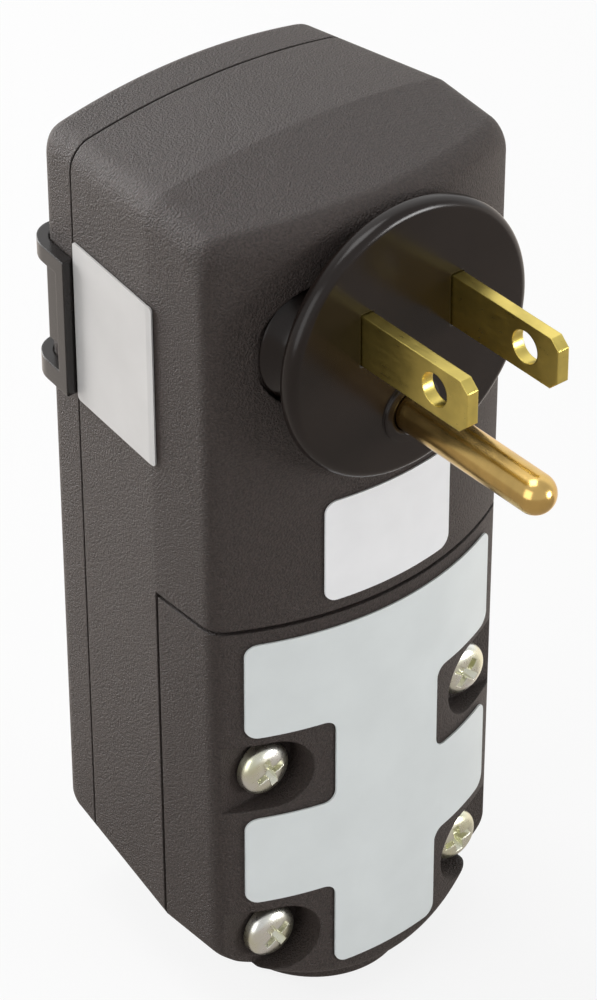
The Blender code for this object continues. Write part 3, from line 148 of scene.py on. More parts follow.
def ring(centre, radius, count=48):
    """Circle: centre plus radius times cosine and sine of equal steps."""
    turn = np.linspace(0.0, 2.0 * np.pi, count, endpoint=False)
    return np.stack([centre[0] + radius * np.cos(turn), centre[1] + radius * np.sin(turn)], axis=-1)


def stack(outlines, levels, axis):
    """Outlines in a plane, one for each level along an axis, as one grid."""
    outlines = np.asarray(outlines, dtype=float)
    grid = np.empty(outlines.shape[:2] + (3,))
    a, b, c = AXES[axis]
    grid[..., a] = outlines[..., 0]
    grid[..., b] = outlines[..., 1]
    grid[..., c] = np.asarray(levels, dtype=float)[:, None]
    return grid


def prism(name, outline, axis, lo, hi):
    """One outline carried from lo to hi along an axis."""
    return tube_piece(name, stack([outline, outline], [lo, hi], axis))


def lathe(name, axis, centre, profile, count=64):
    """Profile of (radius, level) pairs turned about an axis, capped at both ends."""
    rings = [ring(centre, max(r, 1e-4), count) for r, _ in profile]
    return tube_piece(name, stack(rings, [t for _, t in profile], axis))


def block(name, lo, hi):
    """Box between two corners."""
    outline = [(lo[0], lo[2]), (hi[0], lo[2]), (hi[0], hi[2]), (lo[0], hi[2])]
    return prism(name, outline, "Y", lo[1], hi[1])


FAR = 150.0


def slab(y0, y1, z0=-FAR, z1=FAR):
    """Wide block between two depths and two heights."""
    return block("slab", (-FAR, y0, z0), (FAR, y1, z1))


def rounded(corners, radius, count=8):
    """Polygon with its corners swapped for arcs: each arc swings round a + b - corner."""
    here = np.asarray(corners, dtype=float)
    back = np.roll(here, 1, axis=0) - here
    ahead = np.roll(here, -1, axis=0) - here
    a = here + radius * back / np.linalg.norm(back, axis=1, keepdims=True)
    b = here + radius * ahead / np.linalg.norm(ahead, axis=1, keepdims=True)
    centre = a + b - here
    t = np.linspace(0.0, np.pi / 2, count)[None, :, None]
    arcs = centre[:, None] + (a - centre)[:, None] * np.cos(t) + (b - centre)[:, None] * np.sin(t)
    return arcs.reshape(-1, 2)


print("prism and lathe ready")

# %% [markdown]
# ## The case outline
# The real case is a moulded box whose front is part of an upright cylinder, whose top is a shallow
# arch and whose foot is a round arc. It is widest at the joint line and narrows a few degrees to
# the front and to the rear so that the mould lets go. One function gives that form: rings across
# the width, each ring the side view at that width. An inset draws the same form inwards, which
# gives walls, labels and the guard that all follow the case.

# %% Case form
HALF_W, REAR_HALF_W, SIDE_TAPER, REF_Z = 21.3, 18.9, 0.0093, 3.0
CASE_TOP, CASE_BOTTOM = 18.7, -89.0
R_TOP, R_BOTTOM, R_FRONT, R_REAR = 108.0, 35.0, 41.1, 900.0
FRONT_Y, JOINT_Y, PARTING_Y, REAR_Y = 2.9, 19.0, 34.4, 41.0
DRAFT_TOP_FRONT, DRAFT_TOP_REAR, DRAFT_FOOT = 0.10, 0.07, 0.15
TOP_CORNER, FOOT_CORNER, FRONT_CORNER, REAR_CORNER = 3.5, 2.5, 3.0, 2.0
FRONT_EDGE, FOOT_EDGE, REAR_EDGE = 3.0, 1.6, 1.8
WALL, SEAM_Z, GAP = 2.2, -34.6, 0.3


def fall(x, radius, half, corner):
    """Depth of a wide arc at x; past its tangent point a corner arc runs into the upright at half."""
    corner = max(corner, 0.4)
    cx = half - corner
    cz = math.sqrt((radius - corner) ** 2 - cx ** 2) - radius
    wide = radius - np.sqrt(np.maximum(radius ** 2 - x ** 2, 0.0))
    tight = -(cz + np.sqrt(np.maximum(corner ** 2 - (x - cx) ** 2, 0.0)))
    return np.where(x <= radius * cx / (radius - corner), wide, tight)


def top_z(y):
    """Crest of the top: two straight drafts that meet at the joint line."""
    return CASE_TOP - np.where(y < JOINT_Y, DRAFT_TOP_FRONT * (JOINT_Y - y), DRAFT_TOP_REAR * (y - JOINT_Y))


def foot_z(y):
    """Lowest line of the foot: level in front of the joint line, rising behind it."""
    return CASE_BOTTOM + DRAFT_FOOT * np.maximum(y - JOINT_Y, 0.0)


def half_width(y, z, inset):
    """Half width: full in front of the joint line, less behind it and towards the foot."""
    narrow = (HALF_W - REAR_HALF_W) * np.maximum(y - JOINT_Y, 0.0) / (REAR_Y - JOINT_Y)
    return HALF_W - narrow - inset + SIDE_TAPER * (z - REF_Z)


def quarter(y, z, radius, start, count):
    """Quarter arc of a case edge for every ring at once."""
    turn = start + np.linspace(0.0, np.pi / 2, count)[None, :]
    radius = max(radius, 0.4)
    return y[:, None] - radius * np.cos(turn), z[:, None] + radius * np.sin(turn)


def case_form(name, inset, arc=10):
    """Whole case drawn in by an inset: rings at shares of the half width, each a side view."""
    inner = np.linspace(0.0, 0.8, 20)
    outer = 0.8 + 0.2 * np.sin(np.linspace(0.0, np.pi / 2, 15)[1:])
    share = np.concatenate([-np.concatenate([inner, outer])[:0:-1], inner, outer])
    half = HALF_W - inset
    x = np.abs(share) * half
    front = FRONT_Y + inset + fall(x, R_FRONT - inset, half, FRONT_CORNER - inset)
    rear = REAR_Y - inset - fall(x, R_REAR - inset, half, REAR_CORNER - inset)
    drop = inset + fall(x, R_TOP - inset, half, TOP_CORNER - inset)
    rise = inset + fall(x, R_BOTTOM - inset, half, FOOT_CORNER - inset)
    rf, rl, rr = (max(r - inset, 0.4) for r in (FRONT_EDGE, FOOT_EDGE, REAR_EDGE))
    q = np.pi / 2
    joint = np.full((len(share), 1), JOINT_Y)
    arcs = [quarter(front + rl, foot_z(front) + rise + rl, rl, -q, arc),
            quarter(front + rf, top_z(front + rf) - drop - rf, rf, 0.0, arc),
            (joint, (top_z(JOINT_Y) - drop)[:, None]),
            quarter(rear - rr, top_z(rear) - drop - rr, rr, q, arc),
            quarter(rear - rr, foot_z(rear) + rise + rr, rr, 2 * q, arc),
            (joint, (foot_z(JOINT_Y) + rise)[:, None])]
    y = np.concatenate([a[0] for a in arcs], axis=1)
    z = np.concatenate([a[1] for a in arcs], axis=1)
    grid = np.stack([share[:, None] * half_width(y, z, inset), y, z], axis=-1)
    rows, cols = grid.shape[:2]
    faces = tube_faces(rows, cols)
    crest, low = 2 * arc, cols - 1
    ahead = [low] + list(range(crest + 1))
    behind = list(range(crest, low + 1))
    last = (rows - 1) * cols
    faces += [ahead[::-1], behind[::-1], [last + i for i in ahead], [last + i for i in behind]]
    return face_out(mesh_piece(name, grid.reshape(-1, 3), faces))


def mark_joint(piece):
    """Mark as sharp the edges that lie on the joint line, where two drafts meet."""
    mesh = piece.data
    y = np.empty(len(mesh.vertices) * 3)
    mesh.vertices.foreach_get("co", y)
    on_line = np.abs(y.reshape(-1, 3)[:, 1] - JOINT_Y * MM) < 2e-6
    ends = np.empty(len(mesh.edges) * 2, dtype=np.int32)
    mesh.edges.foreach_get("vertices", ends)
    hard = on_line[ends.reshape(-1, 2)].all(axis=1)
    kept = np.zeros(len(mesh.edges), dtype=bool)
    layer = mesh.attributes.get("sharp_edge")
    if layer is not None:
        layer.data.foreach_get("value", kept)
    else:
        layer = mesh.attributes.new("sharp_edge", "BOOLEAN", "EDGE")
    layer.data.foreach_set("value", hard | kept)
    return piece


print("case form ready, half width", HALF_W, "mm")

# %% [markdown]
# ## Finishes
# The shells have a fine spark-eroded grain, so their material adds two sizes of noise as bump and
# lets roughness wander a little. The plug base and the guard are smooth and glossy. Each material
# reads Object coordinates in metres, so a scale of 2500 means features of about 0.4 mm.

# %% Material helpers
def new_material(name):
    """Node material with a Principled shader; returns it with its tree and shader."""
    mat = bpy.data.materials.new(name)
    mat.use_nodes = True
    tree = mat.node_tree
    return mat, tree, tree.nodes["Principled BSDF"]


def link(tree, a, b):
    """Connect an output socket to an input socket."""
    tree.links.new(a, b)


def add(tree, kind, **values):
    """Add a node; keys with spaces swapped for underscores set its inputs."""
    node = tree.nodes.new(kind)
    for key, value in values.items():
        if hasattr(node, key):
            setattr(node, key, value)
        else:
            node.inputs[key.replace("_", " ")].default_value = value
    return node


def noise(tree, scale, detail=2.0, rough=0.5):
    """Noise on Object coordinates."""
    coord = add(tree, "ShaderNodeTexCoord")
    node = add(tree, "ShaderNodeTexNoise", Scale=scale, Detail=detail, Roughness=rough)
    link(tree, coord.outputs["Object"], node.inputs["Vector"])
    return node


def ramp(tree, source, stops):
    """Colour ramp between two stops of (place, colour)."""
    node = add(tree, "ShaderNodeValToRGB")
    for element, (place, colour) in zip(node.color_ramp.elements, stops):
        element.position = place
        element.color = (*colour, 1.0)
    link(tree, source, node.inputs["Fac"])
    return node


def spread(tree, source, lo, hi):
    """Map 0..1 to lo..hi."""
    node = add(tree, "ShaderNodeMapRange")
    node.inputs["To Min"].default_value = lo
    node.inputs["To Max"].default_value = hi
    link(tree, source, node.inputs["Value"])
    return node.outputs["Result"]


def soft_edge(tree, radius):
    """Normal that rounds hard edges by a small radius."""
    return add(tree, "ShaderNodeBevel", samples=6, Radius=radius).outputs["Normal"]


def bump(tree, height, strength, distance, normal=None):
    """Bump from a height, on top of another normal if there is one."""
    node = add(tree, "ShaderNodeBump", Strength=strength, Distance=distance)
    link(tree, height, node.inputs["Height"])
    if normal is not None:
        link(tree, normal, node.inputs["Normal"])
    return node.outputs["Normal"]


print("material helpers ready")

# %% [markdown]
# The moulded plastics come in two kinds: the grained shells, and the smooth pieces whose tone and
# gloss wander slowly. An image of leather grain could do the first, but noise has no seams.

# %% Plastics
def grained_plastic():
    """Dark warm grey plastic with a fine eroded grain of two sizes."""
    mat, tree, shader = new_material("grained_case_plastic")
    coarse = noise(tree, 3900.0, 2.0, 0.55)
    fine = noise(tree, 8200.0, 2.0, 0.6)
    mix = add(tree, "ShaderNodeMath", operation="MULTIPLY_ADD")
    mix.inputs[1].default_value = 0.45
    link(tree, fine.outputs["Fac"], mix.inputs[0])
    link(tree, coarse.outputs["Fac"], mix.inputs[2])
    stops = [(0.35, (0.024, 0.0165, 0.0142)), (0.65, (0.056, 0.0405, 0.0352))]
    tone = ramp(tree, coarse.outputs["Fac"], stops)
    link(tree, tone.outputs["Color"], shader.inputs["Base Color"])
    link(tree, spread(tree, fine.outputs["Fac"], 0.40, 0.60), shader.inputs["Roughness"])
    normal = bump(tree, mix.outputs[0], 1.0, 0.00032, soft_edge(tree, 0.00035))
    link(tree, normal, shader.inputs["Normal"])
    return mat


def smooth_plastic(name, colour, rough, mirror=0.5):
    """Smooth moulded plastic: faint waviness and slow changes of gloss."""
    mat, tree, shader = new_material(name)
    slow = noise(tree, 90.0, 2.0)
    speck = noise(tree, 2600.0, 2.0)
    darker = tuple(0.82 * c for c in colour)
    tone = ramp(tree, slow.outputs["Fac"], [(0.3, darker), (0.7, colour)])
    link(tree, tone.outputs["Color"], shader.inputs["Base Color"])
    gloss = spread(tree, slow.outputs["Fac"], rough - 0.05, rough + 0.06)
    link(tree, gloss, shader.inputs["Roughness"])
    shader.inputs["Specular IOR Level"].default_value = mirror
    normal = bump(tree, speck.outputs["Fac"], 0.05, 0.00005, soft_edge(tree, 0.0003))
    link(tree, normal, shader.inputs["Normal"])
    return mat


CASE_GRAIN = grained_plastic()
PLUG_GLOSS = smooth_plastic("plug_base_plastic", (0.015, 0.0100, 0.0082), 0.20, 0.38)
GUARD_GLOSS = smooth_plastic("guard_plastic", (0.022, 0.019, 0.018), 0.22)
print("plastics:", CASE_GRAIN.name, PLUG_GLOSS.name, GUARD_GLOSS.name)

# %% [markdown]
# Metals are the brass of the blades, the brighter turned brass of the pin and the zinc plate of
# the screws, which has a yellow tint in places. Brass shows fine stamping lines along the blade and
# a few darker patches from handling, so the lines are noise squeezed along the blade.

# %% Metals
def worn_metal(name, colour, rough, stretch, scale, strength=0.12, tint=(0.78, 0.78, 0.78)):
    """Metal with brushed lines: noise squeezed along one axis, with slow stains."""
    mat, tree, shader = new_material(name)
    shader.inputs["Metallic"].default_value = 1.0
    coord = add(tree, "ShaderNodeTexCoord")
    turn = add(tree, "ShaderNodeMapping")
    turn.inputs["Scale"].default_value = stretch
    link(tree, coord.outputs["Object"], turn.inputs["Vector"])
    lines = add(tree, "ShaderNodeTexNoise", Scale=scale, Detail=3.0)
    link(tree, turn.outputs["Vector"], lines.inputs["Vector"])
    stain = noise(tree, 260.0, 3.0)
    stained = tuple(c * t for c, t in zip(colour, tint))
    tone = ramp(tree, stain.outputs["Fac"], [(0.34, stained), (0.62, colour)])
    link(tree, tone.outputs["Color"], shader.inputs["Base Color"])
    gloss = spread(tree, lines.outputs["Fac"], rough - 0.08, rough + 0.10)
    link(tree, gloss, shader.inputs["Roughness"])
    normal = bump(tree, lines.outputs["Fac"], strength, 0.00004, soft_edge(tree, 0.0002))
    link(tree, normal, shader.inputs["Normal"])
    return mat


BLADE_BRASS = worn_metal("blade_brass", (0.92, 0.74, 0.20), 0.30, (1.0, 0.18, 1.0), 2600.0)
PIN_BRASS = worn_metal("pin_brass", (0.86, 0.58, 0.20), 0.20, (1.0, 0.3, 1.0), 1500.0, 0.05)
ZINC = worn_metal("zinc_plate", (0.93, 0.93, 0.88), 0.28, (1.0, 1.0, 1.0), 1800.0, 0.10,
                  (0.96, 0.96, 0.76))
STEEL = worn_metal("plain_steel", (0.56, 0.57, 0.58), 0.34, (1.0, 0.3, 1.0), 1500.0)
COPPER = worn_metal("bare_copper", (0.72, 0.34, 0.18), 0.34, (1.0, 0.3, 1.0), 1500.0)
print("metals ready")

# %% [markdown]
# The labels are satin films with no print: their place is kept and left bare. They get a very faint
# mottle so that they don't read as flat colour.

# %% Label film, rubber and inner plastics
def label_film(name, colour, rough, metal):
    """Satin film: faint mottle and a little sheen."""
    mat, tree, shader = new_material(name)
    shader.inputs["Metallic"].default_value = metal
    slow = noise(tree, 140.0, 3.0)
    grain = noise(tree, 5200.0, 2.0)
    tone = ramp(tree, slow.outputs["Fac"], [(0.3, tuple(0.94 * c for c in colour)), (0.7, colour)])
    link(tree, tone.outputs["Color"], shader.inputs["Base Color"])
    link(tree, spread(tree, grain.outputs["Fac"], rough - 0.05, rough + 0.05), shader.inputs["Roughness"])
    link(tree, bump(tree, grain.outputs["Fac"], 0.04, 0.00003), shader.inputs["Normal"])
    return mat


LABEL_SILVER = label_film("label_silver_film", (0.75, 0.79, 0.79), 0.42, 0.10)
LABEL_SIDE = label_film("label_side_film", (0.60, 0.59, 0.58), 0.42, 0.08)
LABEL_WHITE = label_film("label_white_film", (0.87, 0.87, 0.88), 0.45, 0.0)
RUBBER = smooth_plastic("grommet_rubber", (0.022, 0.022, 0.022), 0.75)
RED_BUTTON = smooth_plastic("reset_red", (0.45, 0.04, 0.03), 0.32)
BLACK_BUTTON = smooth_plastic("test_black", (0.028, 0.028, 0.029), 0.32)
NYLON = smooth_plastic("natural_nylon", (0.62, 0.60, 0.54), 0.50)
BOARD = smooth_plastic("board_mask", (0.05, 0.20, 0.09), 0.42)
FERRITE = smooth_plastic("coated_core", (0.10, 0.10, 0.11), 0.55)
EPOXY = smooth_plastic("epoxy_blue", (0.06, 0.16, 0.45), 0.40)
CHIP = smooth_plastic("chip_black", (0.02, 0.02, 0.02), 0.50)
FINISH = {"case_black": CASE_GRAIN, "smooth_black": PLUG_GLOSS, "brass": BLADE_BRASS, "zinc": ZINC,
          "label_silver": LABEL_SILVER, "label_white": LABEL_WHITE, "rubber": RUBBER,
          "button_red": RED_BUTTON, "button_black": BLACK_BUTTON, "board_green": BOARD,
          "ferrite": FERRITE, "copper": COPPER, "nylon": NYLON, "steel": STEEL,
          "part_blue": EPOXY, "part_black": CHIP}
for part in frame["record"]["subparts"]:
    node = frame["nodes"][part["node"]]
    node.data.materials.clear()
    node.data.materials.append(FINISH[part["material_slot"]])

# %% [markdown]
# Every finished piece is given its material, its body and the node that it stands for in the same
# way, so one helper does it.

# %% Dressing a piece
def dress(piece, material, slot, body, *nodes):
    """Give a finished piece its material, body and the nodes that it stands for; the record slot is not
    used.
    """
    piece.data.materials.clear()
    piece.data.materials.append(material)
    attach(piece, body)
    if nodes:
        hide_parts(*nodes)
    print(piece.name, len(piece.data.polygons), "faces")
    return piece


print("dress ready")

# %% [markdown]
# ## Rear cover
# Both case shells come from the same form: cut at the parting line, then emptied by the form drawn
# in by the wall. A Solidify modifier could give the wall, but it would also thicken the cut edges.
# The rear shell has four sunk screws and the two button holes.

# %% Rear shell
BUTTON_X, BUTTON_Z, BUTTON_W, BUTTON_H = 8.0, -7.2, 5.2, 4.0
CASE_SCREWS = ((14.0, 11.6), (13.2, -74.0))
NECK_SPAN, NECK_Z, NECK_R = 8.45, 1.3, 7.9
CORD_Y, CORD_NECK_R, NECK_FOOT, CORD_BORE_R, BORE_TOP = 16.4, 10.7, -92.0, 8.4, -72.0
BOSS_R, SINK_R, SINK_DEPTH, PAST = 3.6, 3.0, 2.4, 5.0


def stadium(span, radius, z, count=24):
    """Oval outline: two half circles whose centres lie span to each side."""
    turn = np.linspace(-np.pi / 2, np.pi / 2, count)
    right = np.stack([span + radius * np.cos(turn), z + radius * np.sin(turn)], axis=-1)
    left = np.stack([-span - radius * np.cos(turn), z - radius * np.sin(turn)], axis=-1)
    return np.concatenate([right, left])


def both_sides(pairs):
    """Each (x, z) on the left and on the right."""
    return [(sign * x, z) for x, z in pairs for sign in (-1, 1)]


def neck_part(y0, y1):
    """Round cord neck between two depths, with a softly rounded lower rim."""
    rim = 0.5
    turn = np.linspace(0.0, np.pi / 2, 5)
    profile = [(CORD_NECK_R - rim + rim * math.sin(a), NECK_FOOT + rim - rim * math.cos(a)) for a in turn]
    neck = lathe("neck", "Z", (0.0, CORD_Y), profile + [(CORD_NECK_R, CASE_BOTTOM + WALL + 3.0)], 96)
    return carve(neck, slab(y0, y1), "INTERSECT")


def cord_bore():
    """Bore through the neck and into the wiring space."""
    profile = [(CORD_BORE_R, NECK_FOOT - PAST), (CORD_BORE_R, BORE_TOP)]
    return lathe("bore", "Z", (0.0, CORD_Y), profile, 96)


def rectangle(x, z, w, h, radius):
    """Rounded rectangle from its centre and half sizes."""
    return rounded([(x - w, z - h), (x + w, z - h), (x + w, z + h), (x - w, z + h)], radius)


def shell_shade(piece):
    """Smooth the moulded faces, then bring back the crease of the joint line."""
    return mark_joint(smooth(piece, 24.0))


rear = carve(case_form("rear_shell", 0.0), slab(PARTING_Y + GAP / 2, FAR), "INTERSECT")
carve(rear, case_form("inside", WALL))
for x, z in both_sides(CASE_SCREWS):
    carve(rear, lathe("boss", "Y", (x, z), [(BOSS_R, PARTING_Y + 1.0), (BOSS_R, REAR_Y - 1.0)]), "UNION")
for x, z in both_sides(CASE_SCREWS):
    carve(rear, lathe("sink", "Y", (x, z), [(SINK_R, REAR_Y - SINK_DEPTH), (SINK_R, REAR_Y + PAST)]))
for x in (-BUTTON_X, BUTTON_X):
    outline = rectangle(x, BUTTON_Z, BUTTON_W + GAP, BUTTON_H + GAP, 0.6)
    carve(rear, prism("button_hole", outline, "Y", REAR_Y - WALL - 1.0, REAR_Y + PAST))
dress(shell_shade(rear), CASE_GRAIN, "case_black", "case", "rear_cover")

# %% [markdown]
# ## Front case
# The front shell loses the lower front, where the wiring cover goes. A shelf and a tray close it off
# from the wiring space, a pad inside the front wall carries the oval seat of the plug base, and a
# small nick on the parting line is where the halves can be levered apart.

# %% Front shell
SHELF_INSET, SHELF_T, TRAY_Y, TRAY_BACK = 1.0, 2.0, 30.0, 32.0
PAD_LOW, PAD_HIGH = (-17.5, -5.0, -15.1), (17.5, 8.5, 11.2)
STEM_R, SEAT_BACK, STEM_FRONT, WAY_BACK = 5.9, 6.3, 5.0, 12.0
PIN_Z, PIN_R, PIN_BOSS_R = -8.9, 2.4, 4.2
NICK_Z, NICK_R, NICK_X = -26.0, 0.55, -19.5
front = carve(case_form("front_shell", 0.0), slab(-FAR, PARTING_Y - GAP / 2), "INTERSECT")
carve(front, slab(-FAR, JOINT_Y, -FAR, SEAM_Z))
carve(front, case_form("inside", WALL))
shelf = slab(-FAR, TRAY_BACK, SEAM_Z, SEAM_Z + SHELF_T)
tray = slab(TRAY_Y, TRAY_BACK, -FAR, SEAM_Z + SHELF_T)
for name, zone in (("shelf", shelf), ("tray", tray)):
    carve(front, carve(case_form(name, SHELF_INSET), zone, "INTERSECT"), "UNION")
carve(front, neck_part(JOINT_Y, FAR), "UNION")
carve(front, cord_bore())
pad = carve(case_form("pad", SHELF_INSET), block("pad", PAD_LOW, PAD_HIGH), "INTERSECT")
carve(front, pad, "UNION")
carve(front, prism("seat", stadium(NECK_SPAN, NECK_R + GAP, NECK_Z), "Y", -PAST, SEAT_BACK))
carve(front, prism("pry_nick", ring((PARTING_Y - 0.2, NICK_Z), NICK_R, 24), "X", -FAR, NICK_X))
carve(front, prism("stem_way", stadium(NECK_SPAN, STEM_R + GAP, NECK_Z), "Y", STEM_FRONT, WAY_BACK))
way_r = PIN_BOSS_R + GAP
carve(front, lathe("pin_way", "Y", (0.0, PIN_Z), [(way_r, -PAST), (way_r, WAY_BACK)]))
dress(shell_shade(front), CASE_GRAIN, "case_black", "case", "front_case")

# %% [markdown]
# ## Wiring cover
# The cover is the lower front of the same form, with four screw pockets that open to the sides and
# the front part of the round cord neck. Pocket seats are added first, then the pockets are cut. The
# gaps to the case are a little wider than the clearance, because the real joint shows as a dark line.

# %% Wiring cover
COVER_SCREWS = ((14.7, -55.8), (13.9, -80.2))
POCKET_Y, POCKET_R, SEAT_WALL = 8.7, 4.7, 2.0
SIDE_GAP, SEAM_GAP = 1.4 * GAP, 1.8 * GAP


def pocket(x, z, lo, hi, radius):
    """Half circle round the screw that runs straight out to the near side."""
    turn = np.linspace(np.pi / 2, 3 * np.pi / 2, 20)
    out = math.copysign(1.0, x)
    arc = np.stack([x + out * radius * np.cos(turn), z + radius * np.sin(turn)], axis=-1)
    end = np.array([(x + out * FAR, z - radius), (x + out * FAR, z + radius)])
    return prism("pocket", np.concatenate([arc, end]), "Y", lo, hi)


lower_front = slab(-FAR, JOINT_Y - SIDE_GAP, -FAR, SEAM_Z - SEAM_GAP)
cover = carve(case_form("cover_shell", 0.0), lower_front, "INTERSECT")
carve(cover, case_form("inside", WALL))
for x, z in both_sides(COVER_SCREWS):
    around = pocket(x, z, -PAST, POCKET_Y + SEAT_WALL, POCKET_R + SEAT_WALL)
    carve(cover, carve(case_form("seat", SHELF_INSET), around, "INTERSECT"), "UNION")
carve(cover, neck_part(-FAR, JOINT_Y - GAP), "UNION")
for x, z in both_sides(COVER_SCREWS):
    carve(cover, pocket(x, z, -PAST, POCKET_Y, POCKET_R))
carve(cover, cord_bore())
dress(shell_shade(cover), CASE_GRAIN, "case_black", "case", "wiring_cover")

# %% [markdown]
# ## Plug base
# A round face with a rolled rim stands on an oval neck that flares into the case. The face is turned
# from a profile. The neck is a stack of ovals whose radius grows with a power of the depth, and next
# to the face each oval is drawn towards the circle, which gives the fillet that a Bevel would have
# trouble with. The slots for blades and pin are cut with a hair of clearance.

# %% Plug base
FLANGE_R, FLANGE_T, RIM_R = 16.8, 2.6, 1.1
BLADE_X, BLADE_Z, BLADE_H, BLADE_T = 6.35, 3.0, 6.35, 1.5
NECK_WAIST, NECK_FILLET, NECK_FRONT, NECK_BACK = 5.4, 0.40, 2.3, 6.0
STEM_BACK, SLOT_GAP, DISC_BACK_R = 8.5, 0.12, FLANGE_R - 0.8
rim_turn = np.linspace(0.0, np.pi / 2, 10)
rim_x, rim_y = FLANGE_R - RIM_R, FLANGE_T - RIM_R
rim_front = [(rim_x + RIM_R * math.sin(a), RIM_R - RIM_R * math.cos(a)) for a in rim_turn]
rim_back = [(rim_x + RIM_R * math.cos(a), rim_y + RIM_R * math.sin(a)) for a in rim_turn]
base = lathe("plug_face", "Y", (0.0, 0.0), rim_front + rim_back, 128)


def neck_section(share):
    """Oval that swells with depth, drawn towards the round disc over the fillet next to it."""
    oval = stadium(NECK_SPAN, NECK_WAIST + (NECK_R - NECK_WAIST) * share ** 1.8, NECK_Z, 48)
    way = np.arctan2(oval[:, 1], oval[:, 0])
    disc = DISC_BACK_R * np.stack([np.cos(way), np.sin(way)], axis=-1)
    pull = max(1.0 - share / NECK_FILLET, 0.0) ** 2.4
    return oval * (1.0 - pull) + disc * pull


depth = np.linspace(0.0, 1.0, 24)
flare = stack([neck_section(t) for t in depth], NECK_FRONT + (NECK_BACK - NECK_FRONT) * depth, "Y")
carve(base, tube_piece("flare", flare), "UNION")
stem = prism("stem", stadium(NECK_SPAN, STEM_R, NECK_Z), "Y", STEM_FRONT, STEM_BACK)
carve(base, stem, "UNION")
collar = [(2.6, -0.2), (2.9, -0.4), (3.75, -0.4), (3.9, -0.25), (3.9, 0.5)]
carve(base, lathe("collar", "Y", (0.0, PIN_Z), collar, 64), "UNION")
for x in (-BLADE_X, BLADE_X):
    w, h = BLADE_T / 2 + SLOT_GAP, BLADE_H / 2 + SLOT_GAP
    carve(base, block("slot", (x - w, -PAST, BLADE_Z - h), (x + w, FAR, BLADE_Z + h)))
hole_r = PIN_R + SLOT_GAP
carve(base, lathe("pin_hole", "Y", (0.0, PIN_Z), [(hole_r, -PAST), (hole_r, FAR)]))
dress(smooth(base, 30.0), PLUG_GLOSS, "smooth_black", "case", "plug_base")

# %% [markdown]
# ## Blades
# A blade is a stamped strip: one loop is its outline, another the hole, and the flat faces are the
# band between the two loops, so no Boolean is needed. A Bevel modifier rounds the stamped edges.

# %% Blades
BLADE_TIP_Y, BLADE_HOLE_Y, BLADE_HOLE_R = -17.2, -11.9, 2.0
TIP_DROP, TIP_RUN, STAMP_ANGLE = 1.1, 1.2, 35.0
SHOULDER_Y, TAIL_Y, TAIL_H, PITCH = 10.4, 14.4, 4.6, 0.25


def blade(name, x):
    """Outline walked at an even pitch; each of its points has a twin on the hole at the same angle."""
    half, tip, tail = BLADE_H / 2, BLADE_H / 2 - TIP_DROP, TAIL_H / 2
    lower = np.array([(BLADE_TIP_Y, -tip), (BLADE_TIP_Y + TIP_RUN, -half), (SHOULDER_Y, -half),
                      (SHOULDER_Y, -tail), (TAIL_Y, -tail)])
    corners = np.concatenate([lower, lower[::-1] * np.array([1.0, -1.0]), lower[:1]])
    reach = np.concatenate([[0.0], np.cumsum(np.linalg.norm(np.diff(corners, axis=0), axis=1))])
    along = np.unique(np.round(np.concatenate([np.arange(0.0, reach[-1], PITCH), reach]), 4))[:-1]
    outline = np.stack([np.interp(along, reach, column) for column in corners.T], axis=-1)
    angle = np.arctan2(outline[:, 1], outline[:, 0] - BLADE_HOLE_Y)
    hole = BLADE_HOLE_R * np.stack([np.cos(angle), np.sin(angle)], axis=-1) + (BLADE_HOLE_Y, BLADE_Z)
    edge_loop = outline + (0.0, BLADE_Z)
    left, right = x - BLADE_T / 2, x + BLADE_T / 2
    grid = stack([edge_loop, edge_loop, hole, hole], [left, right, right, left], "X")
    rows, cols = grid.shape[:2]
    wrapped = np.array(tube_faces(rows + 1, cols)) % (rows * cols)
    piece = face_out(mesh_piece(name, grid.reshape(-1, 3), wrapped.tolist()))
    edge = piece.modifiers.new("stamped_edge", "BEVEL")
    edge.width = 0.00018
    edge.segments = 3
    edge.limit_method = "ANGLE"
    edge.angle_limit = math.radians(STAMP_ANGLE)
    return smooth(piece, STAMP_ANGLE)


dress(blade("brass_blade_hot", -BLADE_X), BLADE_BRASS, "brass", "case", "hot_blade")
dress(blade("brass_blade_neutral", BLADE_X), BLADE_BRASS, "brass", "case", "neutral_blade")

# %% [markdown]
# ## Ground pin
# The pin is turned from bar, so it is a lathe: a dome, the straight pin and a thinner tail. The dome
# starts a few degrees from its pole, which leaves a tiny flat and keeps it inside the solid's box.

# %% Ground pin
PIN_TIP, PIN_TAIL_R, DOME_START = -22.8, 1.5, math.radians(6.0)
dome_turn = np.linspace(DOME_START, np.pi / 2, 20)
dome = [(PIN_R * math.sin(a), PIN_TIP + PIN_R - PIN_R * math.cos(a)) for a in dome_turn]
shank = [(PIN_R, STEM_BACK), (PIN_TAIL_R, STEM_BACK), (PIN_TAIL_R, TAIL_Y)]
pin = lathe("brass_pin", "Y", (0.0, PIN_Z), dome + shank, 64)
dress(smooth(pin, 40.0), PIN_BRASS, "brass", "case", "ground_pin")

# %% [markdown]
# ## Screws
# Pan heads with a cross recess. The head is a turned crown, and the cross is cut by two tapered
# wedges, as a driver bit would leave it. Eight screws in two sizes come from one function. Threads
# are left out, because they never show.

# %% Screws
def cross_wedge(face, sign, arm, half, depth):
    """One arm of the cross: a slot that narrows with depth."""
    wide = np.array([(-arm, -half), (arm, -half), (arm, half), (-arm, half)])
    narrow = wide * np.array([0.45, 0.7])
    rows = [wide * 1.04, wide, narrow]
    levels = [face - sign * 0.6, face, face + sign * depth]
    return rows, levels


